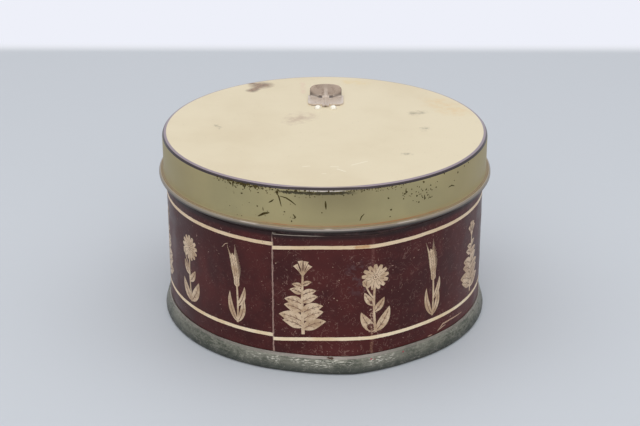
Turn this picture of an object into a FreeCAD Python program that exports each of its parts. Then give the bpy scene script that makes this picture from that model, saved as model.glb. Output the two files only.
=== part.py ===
import FreeCAD, Part
import math
import os

import Sketcher
from FreeCAD import Vector

# A round cutter-lid tobacco tin, shut. A tinplate can stands in a bare pressed base, a paper label
# is wrapped round it with its end lapped over itself, and a slip-on lid with a rolled bead closes
# it. A small steel cutter with a folded thumb tab lies on the lid behind two round-headed studs.
#
# Row frame: X right, Y back, Z up, origin at the middle of the foot ring, which stands on Z = 0.
# Angles round the can are counted from its front, which faces -Y, and grow towards +X.

# ---- driving sizes, mm and degrees

DRIVING = {
    # can
    "wall_radius": 52.3,
    "rim_height": 62.4,
    "sheet_gauge": 0.3,
    # base pan: its band rolls under at the foot and draws in to the can at its free edge
    "base_height": 5.8,
    "base_recess": 1.2,
    "foot_inset": 2.0,
    "foot_stand_off": 1.2,
    "roll_height": 1.2,
    "roll_stand_off": 2.0,
    "band_stand_off": 0.6,
    # lid
    "skirt_depth": 14.3,
    "skirt_stand_off": 1.1,
    "shoulder_radius": 1.3,
    "bead_radius": 0.8,
    "bead_stand_out": 1.5,
    "neck_clearance": 0.1,
    # paper label and the two soft corners it is pushed out to
    "paper_thickness": 0.2,
    "paper_low_gap": 0.1,
    "paper_high_gap": 1.2,
    "lap_angle": -17.4,
    "lap_lift": 1.0,
    "lap_foot_lift": 0.3,
    "lap_tuck": 6.0,
    "crease_angle": 16.0,
    "crease_lift": 1.4,
    "foot_crease_angle": 10.0,
    "foot_crease_lift": 1.6,
    "corner_reach": 22.0,
    "corner_blend": 3.4,
    # cutter on the lid
    "cutter_gauge": 0.5,
    "cutter_inset": 24.0,
    "cutter_offset": 0.25,
    "plate_width": 12.2,
    "plate_length": 7.3,
    "plate_corner": 1.5,
    "tab_width": 10.6,
    "tab_length": 5.3,
    "tab_tilt": 52.0,
    "tab_corner": 1.8,
    "rib_width": 1.6,
    "rib_height": 0.45,
    "tongue_width": 2.4,
    "tongue_length": 1.7,
    "slot_offset": 1.85,
    "slot_width": 1.4,
    "slot_reach": 0.9,
    "slot_rise": 0.9,
    # studs in front of the cutter
    "stud_radius": 1.1,
    "stud_height": 1.1,
    "stud_spacing": 5.3,
    "stud_gap": 1.8,
}


def derive(s):
    """Sizes that follow from the driving ones, so that every fit is written once."""
    tilt = math.radians(s["tab_tilt"])
    along = Vector(math.cos(tilt), math.sin(tilt), 0)
    front = Vector(-math.sin(tilt), math.cos(tilt), 0)
    tab_end = along * s["tab_length"]
    tab_top = tab_end + front * s["cutter_gauge"]
    rib_thick = s["cutter_gauge"] + s["rib_height"]
    rib_end = along * (s["tab_length"] - s["rib_width"])
    rib_top = rib_end + front * rib_thick
    skirt_outside = s["wall_radius"] + s["skirt_stand_off"]
    bead_bottom = s["rim_height"] - s["skirt_depth"]
    return {
        "lid_underside": s["rim_height"] - s["sheet_gauge"],
        "skirt_outside": skirt_outside,
        "skirt_inside": skirt_outside - s["sheet_gauge"],
        "inner_shoulder_radius": s["shoulder_radius"] - s["sheet_gauge"],
        "bead_bottom": bead_bottom,
        "bead_centre_radius": skirt_outside + s["bead_stand_out"] - s["bead_radius"],
        "bead_centre_height": bead_bottom + s["bead_radius"],
        "neck_radius": skirt_outside - s["sheet_gauge"] - s["neck_clearance"],
        "paper_bottom": s["base_height"] + s["paper_low_gap"],
        "paper_top": bead_bottom - s["paper_high_gap"],
        "corner_foot": s["base_height"] + s["corner_blend"],
        "pan_floor": s["base_recess"] + s["sheet_gauge"],
        "foot_inner_radius": s["wall_radius"] - s["foot_inset"],
        "roll_low": s["roll_height"] / 3,
        "roll_low_stand_off": s["roll_stand_off"] - s["sheet_gauge"] / 2,
        "band_middle": (s["roll_height"] + s["base_height"]) / 2,
        "band_middle_stand_off": (s["roll_stand_off"] + s["band_stand_off"]) / 2 + s["sheet_gauge"] / 2,
        "corner_end": s["crease_angle"] + s["corner_reach"],
        "bend_y": s["wall_radius"] - s["cutter_inset"],
        "plate_front": -s["plate_length"],
        "tongue_front": -s["plate_length"] - s["tongue_length"],
        "rib_front": -s["plate_length"] + s["rib_width"],
        "fold_inner": -s["cutter_gauge"] * math.tan(tilt / 2),
        "tab_end_y": tab_end.x,
        "tab_end_z": tab_end.y,
        "tab_top_y": tab_top.x,
        "tab_top_z": tab_top.y,
        "rib_thick": rib_thick,
        "rib_inner": -rib_thick * math.tan(tilt / 2),
        "rib_end_y": rib_end.x,
        "rib_end_z": rib_end.y,
        "rib_top_y": rib_top.x,
        "rib_top_z": rib_top.y,
        "slot_inner": s["slot_offset"] - s["slot_width"] / 2,
        "slot_outer": s["slot_offset"] + s["slot_width"] / 2,
        "slot_front": -s["slot_reach"],
    }


doc = FreeCAD.newDocument("tobacco_tin")
sheet = doc.addObject("Spreadsheet::Sheet", "Sizes")
for row, (alias, number) in enumerate({**DRIVING, **derive(DRIVING)}.items(), start=1):
    sheet.set(f"A{row}", alias)
    sheet.set(f"B{row}", str(number))
    sheet.setAlias(f"B{row}", alias)
doc.recompute()


def size(alias):
    """A size read back from the sheet."""
    return float(sheet.get(alias))


def bind(feature, prop, expression):
    feature.setExpression(prop, expression)


# ---- the can's outline, seen from above


def polar(radius, angle, z=0.0):
    """A point at an angle from the front, growing towards +X."""
    turn = math.radians(angle)
    return Vector(radius * math.sin(turn), -radius * math.cos(turn), z)


def soft_corner(angle, centre, lift):
    """How far a soft corner pushes the sheet out, fading to nothing over its reach."""
    share = abs(angle - centre) / size("corner_reach")
    if share >= 1:
        return 0.0
    return lift * (1 - share) ** 1.25


def wall_push(angle):
    """The paper's own bulge: the lifted lap and the crease right of it."""
    lap = soft_corner(angle, size("lap_angle"), size("lap_lift"))
    return lap + soft_corner(angle, size("crease_angle"), size("crease_lift"))


def foot_push(angle):
    """The bulge of the base, which the can and the paper share where they enter it."""
    return soft_corner(angle, size("foot_crease_angle"), size("foot_crease_lift"))


def paper_foot_push(angle):
    return foot_push(angle) + soft_corner(angle, size("lap_angle"), size("lap_foot_lift"))


def under_lap(push):
    """The same bulge for the can below the paper: none at the lap's free end, where the can is round."""

    def pushed(angle):
        tuck = min(1.0, (angle - size("lap_angle")) / size("lap_tuck"))
        return push(angle) * tuck

    return pushed


def no_push(angle):
    return 0.0


def outline(radius, push, z):
    """Closed wire: a round arc over the back and a spline over the front from the lap to the last corner."""
    start = size("lap_angle")
    end = size("corner_end")
    steps = 14
    angles = [start + (end - start) * k / steps for k in range(steps + 1)]
    front_points = [polar(radius + push(a), a, z) for a in angles]
    front_points[-1] = polar(radius, end, z)
    spline = Part.BSplineCurve()
    spline.interpolate(front_points)
    back = (start + end) / 2 + 180
    arc = Part.Arc(front_points[-1], polar(radius, back, z), polar(radius, start, z))
    edges = [spline.toShape(), arc.toShape()]
    if push(start) > 0:
        edges.append(Part.makeLine(polar(radius, start, z), front_points[0]))
    return Part.Wire(edges)


def stack(sections):
    """Solid skinned straight between outlines, each given as radius, push and height."""
    wires = [outline(radius, push, z) for radius, push, z in sections]
    return Part.makeLoft(wires, True, True)


def shape_feature(name, shape):
    feature = doc.addObject("Part::Feature", name)
    feature.Label = name
    feature.Shape = shape
    feature.Placement = FreeCAD.Placement()
    return feature


# ---- body: the can, shut and taken as solid

foot_can = under_lap(foot_push)
wall_can = under_lap(wall_push)
drum = stack(
    [
        (size("wall_radius"), foot_can, size("pan_floor")),
        (size("wall_radius"), foot_can, size("paper_bottom")),
        (size("wall_radius"), wall_can, size("corner_foot")),
        (size("wall_radius"), wall_can, size("paper_top")),
        (size("wall_radius"), no_push, size("bead_centre_height")),
    ]
)
neck_height = size("lid_underside") - size("bead_centre_height")
neck = Part.makeCylinder(size("neck_radius"), neck_height, Vector(0, 0, size("bead_centre_height")))
neck_rim = [e for e in neck.Edges if e.BoundBox.ZMin > size("lid_underside") - 1e-6]
neck = neck.makeFillet(size("shoulder_radius"), neck_rim)
can_shape = drum.fuse(neck).removeSplitter()
body = shape_feature("body", can_shape)

# ---- label: paper wrap with a lapped end

paper_radius = size("wall_radius") + size("paper_thickness")
wrap = stack(
    [
        (paper_radius, paper_foot_push, size("paper_bottom")),
        (paper_radius, wall_push, size("corner_foot")),
        (paper_radius, wall_push, size("paper_top")),
    ]
)
label = shape_feature("label", wrap.cut(can_shape))

# ---- base: bare pressed pan with a foot ring

# Stand-off from the can's wall and height of each turn of the band, from the foot to the free edge.
BAND = [
    ("foot_stand_off", 0.0),
    ("roll_low_stand_off", size("roll_low")),
    ("roll_stand_off", size("roll_height")),
    ("band_middle_stand_off", size("band_middle")),
    ("band_stand_off", size("base_height")),
]
pan = stack([(size("wall_radius") + size(stand_off), foot_push, z) for stand_off, z in BAND])
recess = Part.makeCylinder(size("foot_inner_radius"), size("base_recess"))
base = shape_feature("base", pan.cut(can_shape).cut(recess))


# ---- sketch helpers for the turned and folded pieces


def origin_plane(part, role):
    return next(f for f in part.Origin.OriginFeatures if f.Role == role)


def new_sketch(part, name, role):
    sketch = part.newObject("Sketcher::SketchObject", name)
    sketch.AttachmentSupport = (origin_plane(part, role), [""])
    sketch.MapMode = "FlatFace"
    return sketch


def hold(sketch, line, end, axis, alias):
    """Keep one end of a line at a sheet size along the sketch's X or Y, or on the axis if alias is None."""
    if alias is None:
        own_axis = -2 if axis == "X" else -1
        sketch.addConstraint(Sketcher.Constraint("PointOnObject", line, end, own_axis))
        return
    kind = "Distance" + axis
    index = sketch.addConstraint(Sketcher.Constraint(kind, -1, 1, line, end, size(alias)))
    bind(sketch, f"Constraints[{index}]", f"Sizes.{alias}")


def polygon(sketch, corners):
    """Closed outline through corners, each a pair of sheet sizes (None for the axis)."""
    points = [Vector(*(0.0 if alias is None else size(alias) for alias in pair), 0) for pair in corners]
    count = len(points)
    for k in range(count):
        sketch.addGeometry(Part.LineSegment(points[k], points[(k + 1) % count]))
    for k in range(count):
        sketch.addConstraint(Sketcher.Constraint("Coincident", k, 2, (k + 1) % count, 1))
    for k, (x_size, y_size) in enumerate(corners):
        hold(sketch, k, 1, "X", x_size)
        hold(sketch, k, 1, "Y", y_size)


def fillet(part, previous, name, radius, chosen):
    """Round the edges of the last feature that the test picks out."""
    doc.recompute()
    names = [f"Edge{k}" for k, e in enumerate(previous.Shape.Edges, start=1) if chosen(e)]
    feature = part.newObject("PartDesign::Fillet", name)
    feature.Base = (previous, names)
    feature.Radius = size(radius)
    bind(feature, "Radius", f"Sizes.{radius}")
    return feature


# ---- lid: slip-on cap with a rolled bead

lid = doc.addObject("PartDesign::Body", "lid")
lid.Label = "lid"

cap_section = new_sketch(lid, "cap_section", "XZ_Plane")
polygon(
    cap_section,
    [
        (None, "rim_height"),
        ("skirt_outside", "rim_height"),
        ("skirt_outside", "bead_centre_height"),
        ("skirt_inside", "bead_centre_height"),
        ("skirt_inside", "lid_underside"),
        (None, "lid_underside"),
    ],
)
cap = lid.newObject("PartDesign::Revolution", "cap")
cap.Profile = cap_section
cap.ReferenceAxis = (cap_section, ["V_Axis"])
cap.Angle = 360

bead_section = new_sketch(lid, "bead_section", "XZ_Plane")
bead_centre = Vector(size("bead_centre_radius"), size("bead_centre_height"), 0)
bead_section.addGeometry(Part.Circle(bead_centre, Vector(0, 0, 1), size("bead_radius")))
hold(bead_section, 0, 3, "X", "bead_centre_radius")
hold(bead_section, 0, 3, "Y", "bead_centre_height")
bead_size = bead_section.addConstraint(Sketcher.Constraint("Radius", 0, size("bead_radius")))
bind(bead_section, f"Constraints[{bead_size}]", "Sizes.bead_radius")
bead = lid.newObject("PartDesign::Revolution", "bead")
bead.Profile = bead_section
bead.ReferenceAxis = (bead_section, ["V_Axis"])
bead.Angle = 360


def rim_at(radius, height):
    """Test for the round edge of a given radius at a given height."""

    def chosen(edge):
        box = edge.BoundBox
        flat = box.ZLength < 1e-6 and abs(box.ZMin - height) < 1e-6
        return flat and abs(box.XMax - radius) < 1e-4

    return chosen


outer_rim = rim_at(size("skirt_outside"), size("rim_height"))
shoulder = fillet(lid, bead, "shoulder", "shoulder_radius", outer_rim)
inner_rim = rim_at(size("skirt_inside"), size("lid_underside"))
lid.Tip = fillet(lid, shoulder, "inner_shoulder", "inner_shoulder_radius", inner_rim)

# ---- cutter: folded steel tab on the lid

# Drawn about its own fold line: the plate lies forward of it on the lid, the thumb tab rises behind.
cutter = doc.addObject("PartDesign::Body", "cutter")
cutter.Label = "cutter"


def strip(name, corners, width):
    """Folded strip: a side section padded to both sides of the middle."""
    section = new_sketch(cutter, f"{name}_section", "YZ_Plane")
    polygon(section, corners)
    pad = cutter.newObject("PartDesign::Pad", name)
    pad.Profile = section
    pad.Midplane = True
    pad.Length = size(width)
    bind(pad, "Length", f"Sizes.{width}")
    return pad


def side_edge(width, at_end):
    """Test for the short edges through the sheet at a strip's two corners at one end."""

    def chosen(edge):
        middle = edge.BoundBox.Center
        short = edge.Length < 1.01 * size("cutter_gauge")
        at_side = abs(abs(middle.x) - size(width) / 2) < 1e-4
        return short and at_side and at_end(middle)

    return chosen


plate = strip(
    "plate",
    [
        ("plate_front", None),
        (None, None),
        ("fold_inner", "cutter_gauge"),
        ("plate_front", "cutter_gauge"),
    ],
    "plate_width",
)
front_corner = side_edge("plate_width", lambda m: m.y < size("plate_front") / 2)
fillet(cutter, plate, "plate_corners", "plate_corner", front_corner)
tab = strip(
    "tab",
    [
        (None, None),
        ("tab_end_y", "tab_end_z"),
        ("tab_top_y", "tab_top_z"),
        ("fold_inner", "cutter_gauge"),
    ],
    "tab_width",
)
upper_corner = side_edge("tab_width", lambda m: m.z > size("tab_end_z") / 2)
fillet(cutter, tab, "tab_arch", "tab_corner", upper_corner)
strip(
    "rib",
    [
        ("rib_front", None),
        (None, None),
        ("rib_end_y", "rib_end_z"),
        ("rib_top_y", "rib_top_z"),
        ("rib_inner", "rib_thick"),
        ("rib_front", "rib_thick"),
    ],
    "rib_width",
)
strip(
    "tongue",
    [
        ("tongue_front", None),
        ("plate_front", None),
        ("plate_front", "cutter_gauge"),
        ("tongue_front", "cutter_gauge"),
    ],
    "tongue_width",
)

slot_section = new_sketch(cutter, "slot_section", "XY_Plane")
polygon(
    slot_section,
    [
        ("slot_inner", "slot_front"),
        ("slot_outer", "slot_front"),
        ("slot_outer", "slot_rise"),
        ("slot_inner", "slot_rise"),
    ],
)
slot = cutter.newObject("PartDesign::Pocket", "slot")
slot.Profile = slot_section
slot.Type = "ThroughAll"
slot.Midplane = True
slots = cutter.newObject("PartDesign::Mirrored", "slots")
slots.Originals = [slot]
slots.MirrorPlane = (origin_plane(cutter, "YZ_Plane"), [""])
cutter.Tip = slots
bind(cutter, "Placement.Base.x", "Sizes.cutter_offset")
bind(cutter, "Placement.Base.y", "Sizes.bend_y")
bind(cutter, "Placement.Base.z", "Sizes.rim_height")

# ---- studs: round heads in front of the cutter

for name, side in (("stud_left", -1), ("stud_right", 1)):
    stud = doc.addObject("Part::Ellipsoid", name)
    stud.Label = name
    stud.Angle1 = 0
    bind(stud, "Radius1", "Sizes.stud_height")
    bind(stud, "Radius2", "Sizes.stud_radius")
    bind(stud, "Radius3", "Sizes.stud_radius")
    bind(stud, "Placement.Base.x", f"{side} * Sizes.stud_spacing / 2 + Sizes.cutter_offset")
    bind(stud, "Placement.Base.y", "Sizes.bend_y + Sizes.plate_front - Sizes.stud_radius - Sizes.stud_gap")
    bind(stud, "Placement.Base.z", "Sizes.rim_height")

# ---- check and export

doc.recompute()
for item in doc.Objects:
    if "Invalid" in item.State or "Error" in item.State:
        raise RuntimeError(f"{item.Label} did not compute: {item.State}")

os.makedirs("parts", exist_ok=True)
for name in ("body", "label", "base", "lid", "cutter", "stud_left", "stud_right"):
    shape = doc.getObject(name).Shape
    if shape.isNull() or not shape.isValid():
        raise RuntimeError(f"{name} has no valid shape")
    shape.exportStep(f"parts/{name}.step")
    box = shape.BoundBox
    heights = f"z {box.ZMin:.2f} to {box.ZMax:.2f} mm"
    print(f"{name}: {len(shape.Solids)} solid, {shape.Volume:.1f} mm3, {heights}")
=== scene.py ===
import math
import random

import bmesh
import bpy
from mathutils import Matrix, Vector, noise


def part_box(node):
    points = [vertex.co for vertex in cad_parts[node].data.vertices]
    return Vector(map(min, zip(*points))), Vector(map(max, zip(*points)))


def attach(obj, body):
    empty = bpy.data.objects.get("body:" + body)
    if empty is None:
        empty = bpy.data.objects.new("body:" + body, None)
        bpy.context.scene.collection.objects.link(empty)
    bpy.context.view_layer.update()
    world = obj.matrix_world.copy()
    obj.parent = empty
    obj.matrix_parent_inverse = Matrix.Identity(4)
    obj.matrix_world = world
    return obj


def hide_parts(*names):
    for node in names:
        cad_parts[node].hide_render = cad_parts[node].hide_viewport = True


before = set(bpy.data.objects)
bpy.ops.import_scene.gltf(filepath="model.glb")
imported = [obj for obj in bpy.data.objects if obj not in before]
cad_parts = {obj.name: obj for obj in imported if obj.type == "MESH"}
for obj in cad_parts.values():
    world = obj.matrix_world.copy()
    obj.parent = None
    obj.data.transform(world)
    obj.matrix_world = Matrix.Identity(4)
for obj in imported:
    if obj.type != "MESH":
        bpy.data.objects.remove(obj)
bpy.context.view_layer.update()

# ---- Base pan
# The bottom of the tin: a shallow pan pressed from bare tinplate and crimped on over the can. Its
# band draws in to the can at the free edge, swells out and rolls under to the flat foot ring. Age
# has left it grey-green and mottled, with scuffs that show brighter tin. A painted highlight runs
# along the band's top edge, and painted shade darkens the band towards its foot.

MM = 0.001
FOOT_CREASE_ANGLE = 10.0
CORNER_REACH = 22.0
FOOT_CREASE_LIFT = 1.6

base_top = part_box("base")[1].z / MM
# The can's wall lies under the label, by the paper's thickness.
PAPER_THICK = 0.2
can_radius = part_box("label")[1].x / MM - PAPER_THICK


def around(radius, angle, height):
    """A point in metres from a radius and height in mm and an angle from the front, growing to the right."""
    turn = math.radians(angle)
    return Vector((radius * math.sin(turn), -radius * math.cos(turn), height)) * MM


def soft_corner(angle, centre, lift):
    """How far, in mm, a soft corner pushes the sheet out at an angle."""
    offset = (angle - centre + 180) % 360 - 180
    share = abs(offset) / CORNER_REACH
    if share >= 1:
        return 0.0
    return lift * (1 - share) ** 1.25


def foot_push(angle):
    return soft_corner(angle, FOOT_CREASE_ANGLE, FOOT_CREASE_LIFT)


def arc(centre_radius, centre_height, radius, start, end, steps):
    """Points of a round stretch of a profile, as radius and height, between two angles in degrees."""
    points = []
    for k in range(steps + 1):
        turn = math.radians(start + (end - start) * k / steps)
        points.append((centre_radius + radius * math.cos(turn), centre_height + radius * math.sin(turn)))
    return points


def run(start, end, steps):
    """Points of a straight stretch of a profile, without its ends."""
    shares = [(k + 1) / (steps + 1) for k in range(steps)]
    return [(start[0] + (end[0] - start[0]) * s, start[1] + (end[1] - start[1]) * s) for s in shares]


def stand(name, shape, smooth=True, sharp=None):
    """Put a finished shape in the scene, smooth but for edges sharper than so many degrees."""
    mesh = bpy.data.meshes.new(name)
    shape.to_mesh(mesh)
    shape.free()
    if smooth:
        mesh.shade_smooth()
    if sharp:
        mesh.set_sharp_from_angle(angle=math.radians(sharp))
    piece = bpy.data.objects.new(name, mesh)
    bpy.context.scene.collection.objects.link(piece)
    return piece


def turned(name, profile, push, turns=480):
    """A closed piece turned round the tin's axis; push moves the sheet out of round."""
    shell = bmesh.new()
    rings = []
    for radius, height in profile:
        if radius < 1e-6:
            rings.append([shell.verts.new(around(0, 0, height))] * turns)
            continue
        ring = []
        for k in range(turns):
            angle = 360 * k / turns - 180
            ring.append(shell.verts.new(around(radius + push(angle, radius, height), angle, height)))
        rings.append(ring)
    for low, high in zip(rings, rings[1:]):
        for k in range(turns):
            corners = [low[k], low[(k + 1) % turns], high[(k + 1) % turns], high[k]]
            unique = list(dict.fromkeys(corners))
            if len(unique) > 2:
                shell.faces.new(unique)
    bmesh.ops.recalc_face_normals(shell, faces=shell.faces)
    return stand(name, shell, sharp=50)


FOOT_INNER = 50.3
FOOT_RECESS = 1.2
FOOT_BEND = 0.3
FLOOR_EDGE = FOOT_INNER - 0.5
ROLL_RADIUS = 1.0
PAN_FLOOR = 0.3
BAND_SWELL = 1.12
LIP_RADIUS = 0.12


def pan_push(angle, radius, height):
    """The foot's soft corner, with shallow knocks along the band."""
    if radius < can_radius:
        return 0.0
    turn = math.radians(angle)
    knock = noise.noise(Vector((math.cos(turn) * 3, math.sin(turn) * 3, height * 0.12)))
    dent = noise.noise(Vector((angle * 0.16, 7.3, height * 0.35)))
    return foot_push(angle) - 0.03 + 0.1 * min(height, 3.0) / 3.0 * min(0.0, knock + dent)


roll_centre = can_radius + ROLL_RADIUS
band = (
    [(0.0, FOOT_RECESS)]
    + run((0.0, FOOT_RECESS), (FLOOR_EDGE, FOOT_RECESS), 6)
    + [(FLOOR_EDGE, FOOT_RECESS)]
    + arc(FOOT_INNER - FOOT_BEND, FOOT_RECESS - FOOT_BEND, FOOT_BEND, 90, 0, 3)
    + arc(FOOT_INNER + FOOT_BEND, FOOT_BEND, FOOT_BEND, 180, 270, 4)
    + run((FOOT_INNER + FOOT_BEND, 0.0), (roll_centre, 0.0), 2)
    + arc(roll_centre, ROLL_RADIUS, ROLL_RADIUS, 270, 372, 9)
    + run((roll_centre + 0.97, ROLL_RADIUS + 0.25), (can_radius + BAND_SWELL, base_top - 1.5), 4)
    + arc(can_radius + 0.30, base_top - 1.95, 0.94, 28, 60, 3)
    + [(can_radius + 0.62, base_top - 0.5), (can_radius + 0.6, base_top - LIP_RADIUS)]
    + arc(can_radius + 0.48, base_top - LIP_RADIUS, LIP_RADIUS, 0, 90, 3)
    + arc(can_radius + 0.33, base_top - LIP_RADIUS, LIP_RADIUS, 90, 180, 3)
    + [(can_radius + 0.2, base_top - 1.0), (can_radius + 0.2, FOOT_RECESS + PAN_FLOOR)]
    + [(0.0, FOOT_RECESS + PAN_FLOOR)]
)
base_pan = turned("base_pan", band, pan_push)
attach(base_pan, "root")
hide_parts("base")


def tone(red, green, blue):
    """A paint maker's 0-255 colour as linear light."""
    shares = [part / 255 for part in (red, green, blue)]
    return tuple(s / 12.92 if s <= 0.04045 else ((s + 0.055) / 1.055) ** 2.4 for s in shares) + (1.0,)


def put(tree, kind, inputs=None, **settings):
    """Add a node, give it settings, and set or link its inputs by name or place."""
    made = tree.nodes.new(kind)
    for key, value in settings.items():
        setattr(made, key, value)
    for key, value in (inputs or {}).items():
        if isinstance(value, bpy.types.NodeSocket):
            tree.links.new(value, made.inputs[key])
        else:
            made.inputs[key].default_value = value
    return made


def sum_up(tree, operation, first, second=0.0, third=0.0, clamp=False):
    inputs = {0: first, 1: second, 2: third}
    return put(tree, "ShaderNodeMath", inputs, operation=operation, use_clamp=clamp).outputs[0]


def times(tree, first, second):
    return sum_up(tree, "MULTIPLY", first, second)


def either(tree, first, second):
    """The greater of two masks."""
    return sum_up(tree, "MAXIMUM", first, second)


def blend(tree, share, first, second):
    """Mix two colours by a share."""
    mixed = put(tree, "ShaderNodeMix", {0: share, 6: first, 7: second}, data_type="RGBA")
    return mixed.outputs[2]


def coats(tree, colour, *layers):
    """Lay tones over a colour in turn, each given as its mask and its 0-255 colour."""
    for mask, shade in layers:
        colour = blend(tree, mask, colour, tone(*shade))
    return colour


def spread(tree, value, low, high, out_low=0.0, out_high=1.0, ease="SMOOTHSTEP"):
    """Map a value's range onto another, clamped, and smoothly unless said otherwise."""
    inputs = {0: value, 1: low, 2: high, 3: out_low, 4: out_high}
    return put(tree, "ShaderNodeMapRange", inputs, interpolation_type=ease).outputs[0]


def between(tree, value, low, high, ease):
    """1 where a value lies between two levels, easing over so much at both."""
    risen = spread(tree, value, low - ease, low + ease)
    return times(tree, risen, spread(tree, value, high - ease, high + ease, 1.0, 0.0))


def cloud(tree, where, scale, detail=4.0, roughness=0.5, distortion=0.0):
    """Noise from 0 to 1 at a place, at so many waves a metre."""
    inputs = {"Vector": where, "Scale": scale, "Detail": detail, "Roughness": roughness}
    return put(tree, "ShaderNodeTexNoise", {**inputs, "Distortion": distortion}).outputs[0]


def scaled(tree, vector, by):
    return put(tree, "ShaderNodeVectorMath", {0: vector, "Scale": by}, operation="SCALE").outputs[0]


def vector_sum(tree, operation, first, second):
    return put(tree, "ShaderNodeVectorMath", {0: first, 1: second}, operation=operation)


def stretched(tree, where, along_x, along_y, along_z, turn=0.0):
    """A place scaled on each axis, for streaks and scratches."""
    inputs = {"Vector": where, "Scale": (along_x, along_y, along_z), "Rotation": (0.0, 0.0, turn)}
    return put(tree, "ShaderNodeMapping", inputs).outputs[0]


def new_group(name, inputs, values=("Mask",), vectors=()):
    """A shader node group: its inputs with their first values, then its outputs by name."""
    tree = bpy.data.node_groups.new(name, "ShaderNodeTree")
    for label, start in inputs.items():
        kind = "NodeSocketVector" if isinstance(start, tuple) else "NodeSocketFloat"
        tree.interface.new_socket(label, in_out="INPUT", socket_type=kind).default_value = start
    for labels, kind in ((values, "NodeSocketFloat"), (vectors, "NodeSocketVector")):
        for label in labels:
            tree.interface.new_socket(label, in_out="OUTPUT", socket_type=kind)
    return tree, tree.nodes.new("NodeGroupInput").outputs, tree.nodes.new("NodeGroupOutput")


def use(tree, group, **inputs):
    """Place a group, its inputs given with underscores for spaces."""
    made = tree.nodes.new("ShaderNodeGroup")
    made.node_tree = group
    for key, value in inputs.items():
        socket = made.inputs[key.replace("_", " ").capitalize()]
        if isinstance(value, bpy.types.NodeSocket):
            tree.links.new(value, socket)
        else:
            socket.default_value = value
    return made.outputs


def finish(name):
    """A new material: its tree, its Principled shader, and the place on the object."""
    material = bpy.data.materials.new(name)
    material.use_nodes = True
    tree = material.node_tree
    place = tree.nodes.new("ShaderNodeTexCoord").outputs["Object"]
    return material, tree, tree.nodes["Principled BSDF"], place


def feed(tree, shader, **sockets):
    """Set or link a shader's or a result's sockets, named with underscores for spaces."""
    for key, value in sockets.items():
        socket = shader.inputs[key.replace("_", " ")]
        if isinstance(value, bpy.types.NodeSocket):
            tree.links.new(value, socket)
        else:
            socket.default_value = value


def relief(tree, height, depth, strength=1.0):
    """A surface normal from a height, its full swing so many metres deep."""
    return put(tree, "ShaderNodeBump", {"Height": height, "Distance": depth, "Strength": strength}).outputs[0]


# Where a place lies on the tin: degrees from the front, mm round the wall, mm up, mm from the axis.
tin_place, given, result = new_group(
    "Place on the tin", {"Place": (0, 0, 0)}, ("Angle", "Round", "Height", "Radius"), ("Flat", "Wrapped")
)
in_mm = scaled(tin_place, given["Place"], 1 / MM)
parts = put(tin_place, "ShaderNodeSeparateXYZ", {0: in_mm}).outputs
forward = times(tin_place, parts[1], -1.0)
turn = sum_up(tin_place, "ARCTAN2", parts[0], forward)
round_out = times(tin_place, turn, can_radius)
squares = times(tin_place, parts[0], parts[0])
squares = sum_up(tin_place, "MULTIPLY_ADD", parts[1], parts[1], squares)
feed(
    tin_place,
    result,
    Angle=times(tin_place, turn, 180 / math.pi),
    Round=round_out,
    Height=parts[2],
    Radius=sum_up(tin_place, "SQRT", squares),
    Flat=put(tin_place, "ShaderNodeCombineXYZ", {0: parts[0], 1: parts[1]}).outputs[0],
    Wrapped=put(tin_place, "ShaderNodeCombineXYZ", {0: round_out, 1: parts[2]}).outputs[0],
)

# Wandering hair scratches, thin bright lines that break off and cross at many angles.
hair_scratches, given, result = new_group(
    "Hair scratches", {"Place": (0, 0, 0), "Scale": 100.0, "Width": 0.02, "Amount": 0.5}
)
layers = []
for number, turn_by in enumerate((0.3, 1.2, 2.2)):
    lines_at = stretched(hair_scratches, given["Place"], 1.0, 1.0, 1.0, turn_by)
    shifted = vector_sum(hair_scratches, "ADD", lines_at, (0.7 * number, 0.3, 0.1 * number)).outputs[0]
    waved = cloud(hair_scratches, shifted, given["Scale"], 2.0, 0.45, 1.6)
    off_line = sum_up(hair_scratches, "ABSOLUTE", sum_up(hair_scratches, "SUBTRACT", waved, 0.5))
    line = spread(hair_scratches, off_line, 0.0, given["Width"], 1.0, 0.0, "LINEAR")
    broken = times(hair_scratches, given["Scale"], 2.3)
    gaps = cloud(hair_scratches, shifted, broken, 3.0, 0.6)
    open_to = sum_up(hair_scratches, "SUBTRACT", 0.8, times(hair_scratches, given["Amount"], 0.4))
    shown = sum_up(hair_scratches, "GREATER_THAN", gaps, open_to)
    layers.append(times(hair_scratches, line, shown))
joined = either(hair_scratches, either(hair_scratches, layers[0], layers[1]), layers[2])
feed(hair_scratches, result, Mask=joined)

# Patches of tarnish at two sizes, from 0 where the metal is clean to 1 where it is dull.
tarnish, given, result = new_group(
    "Tarnish", {"Place": (0, 0, 0), "Broad": 90.0, "Fine": 700.0, "Cover": 0.5}
)
broad = cloud(tarnish, given["Place"], given["Broad"], 5.0, 0.6, 0.4)
fine = cloud(tarnish, given["Place"], given["Fine"], 4.0, 0.65)
both = sum_up(tarnish, "MULTIPLY_ADD", fine, 0.4, times(tarnish, broad, 0.6))
level = sum_up(tarnish, "SUBTRACT", 0.62, times(tarnish, given["Cover"], 0.24))
top_level = sum_up(tarnish, "ADD", level, 0.1)
feed(tarnish, result, Mask=spread(tarnish, both, level, top_level))

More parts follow.
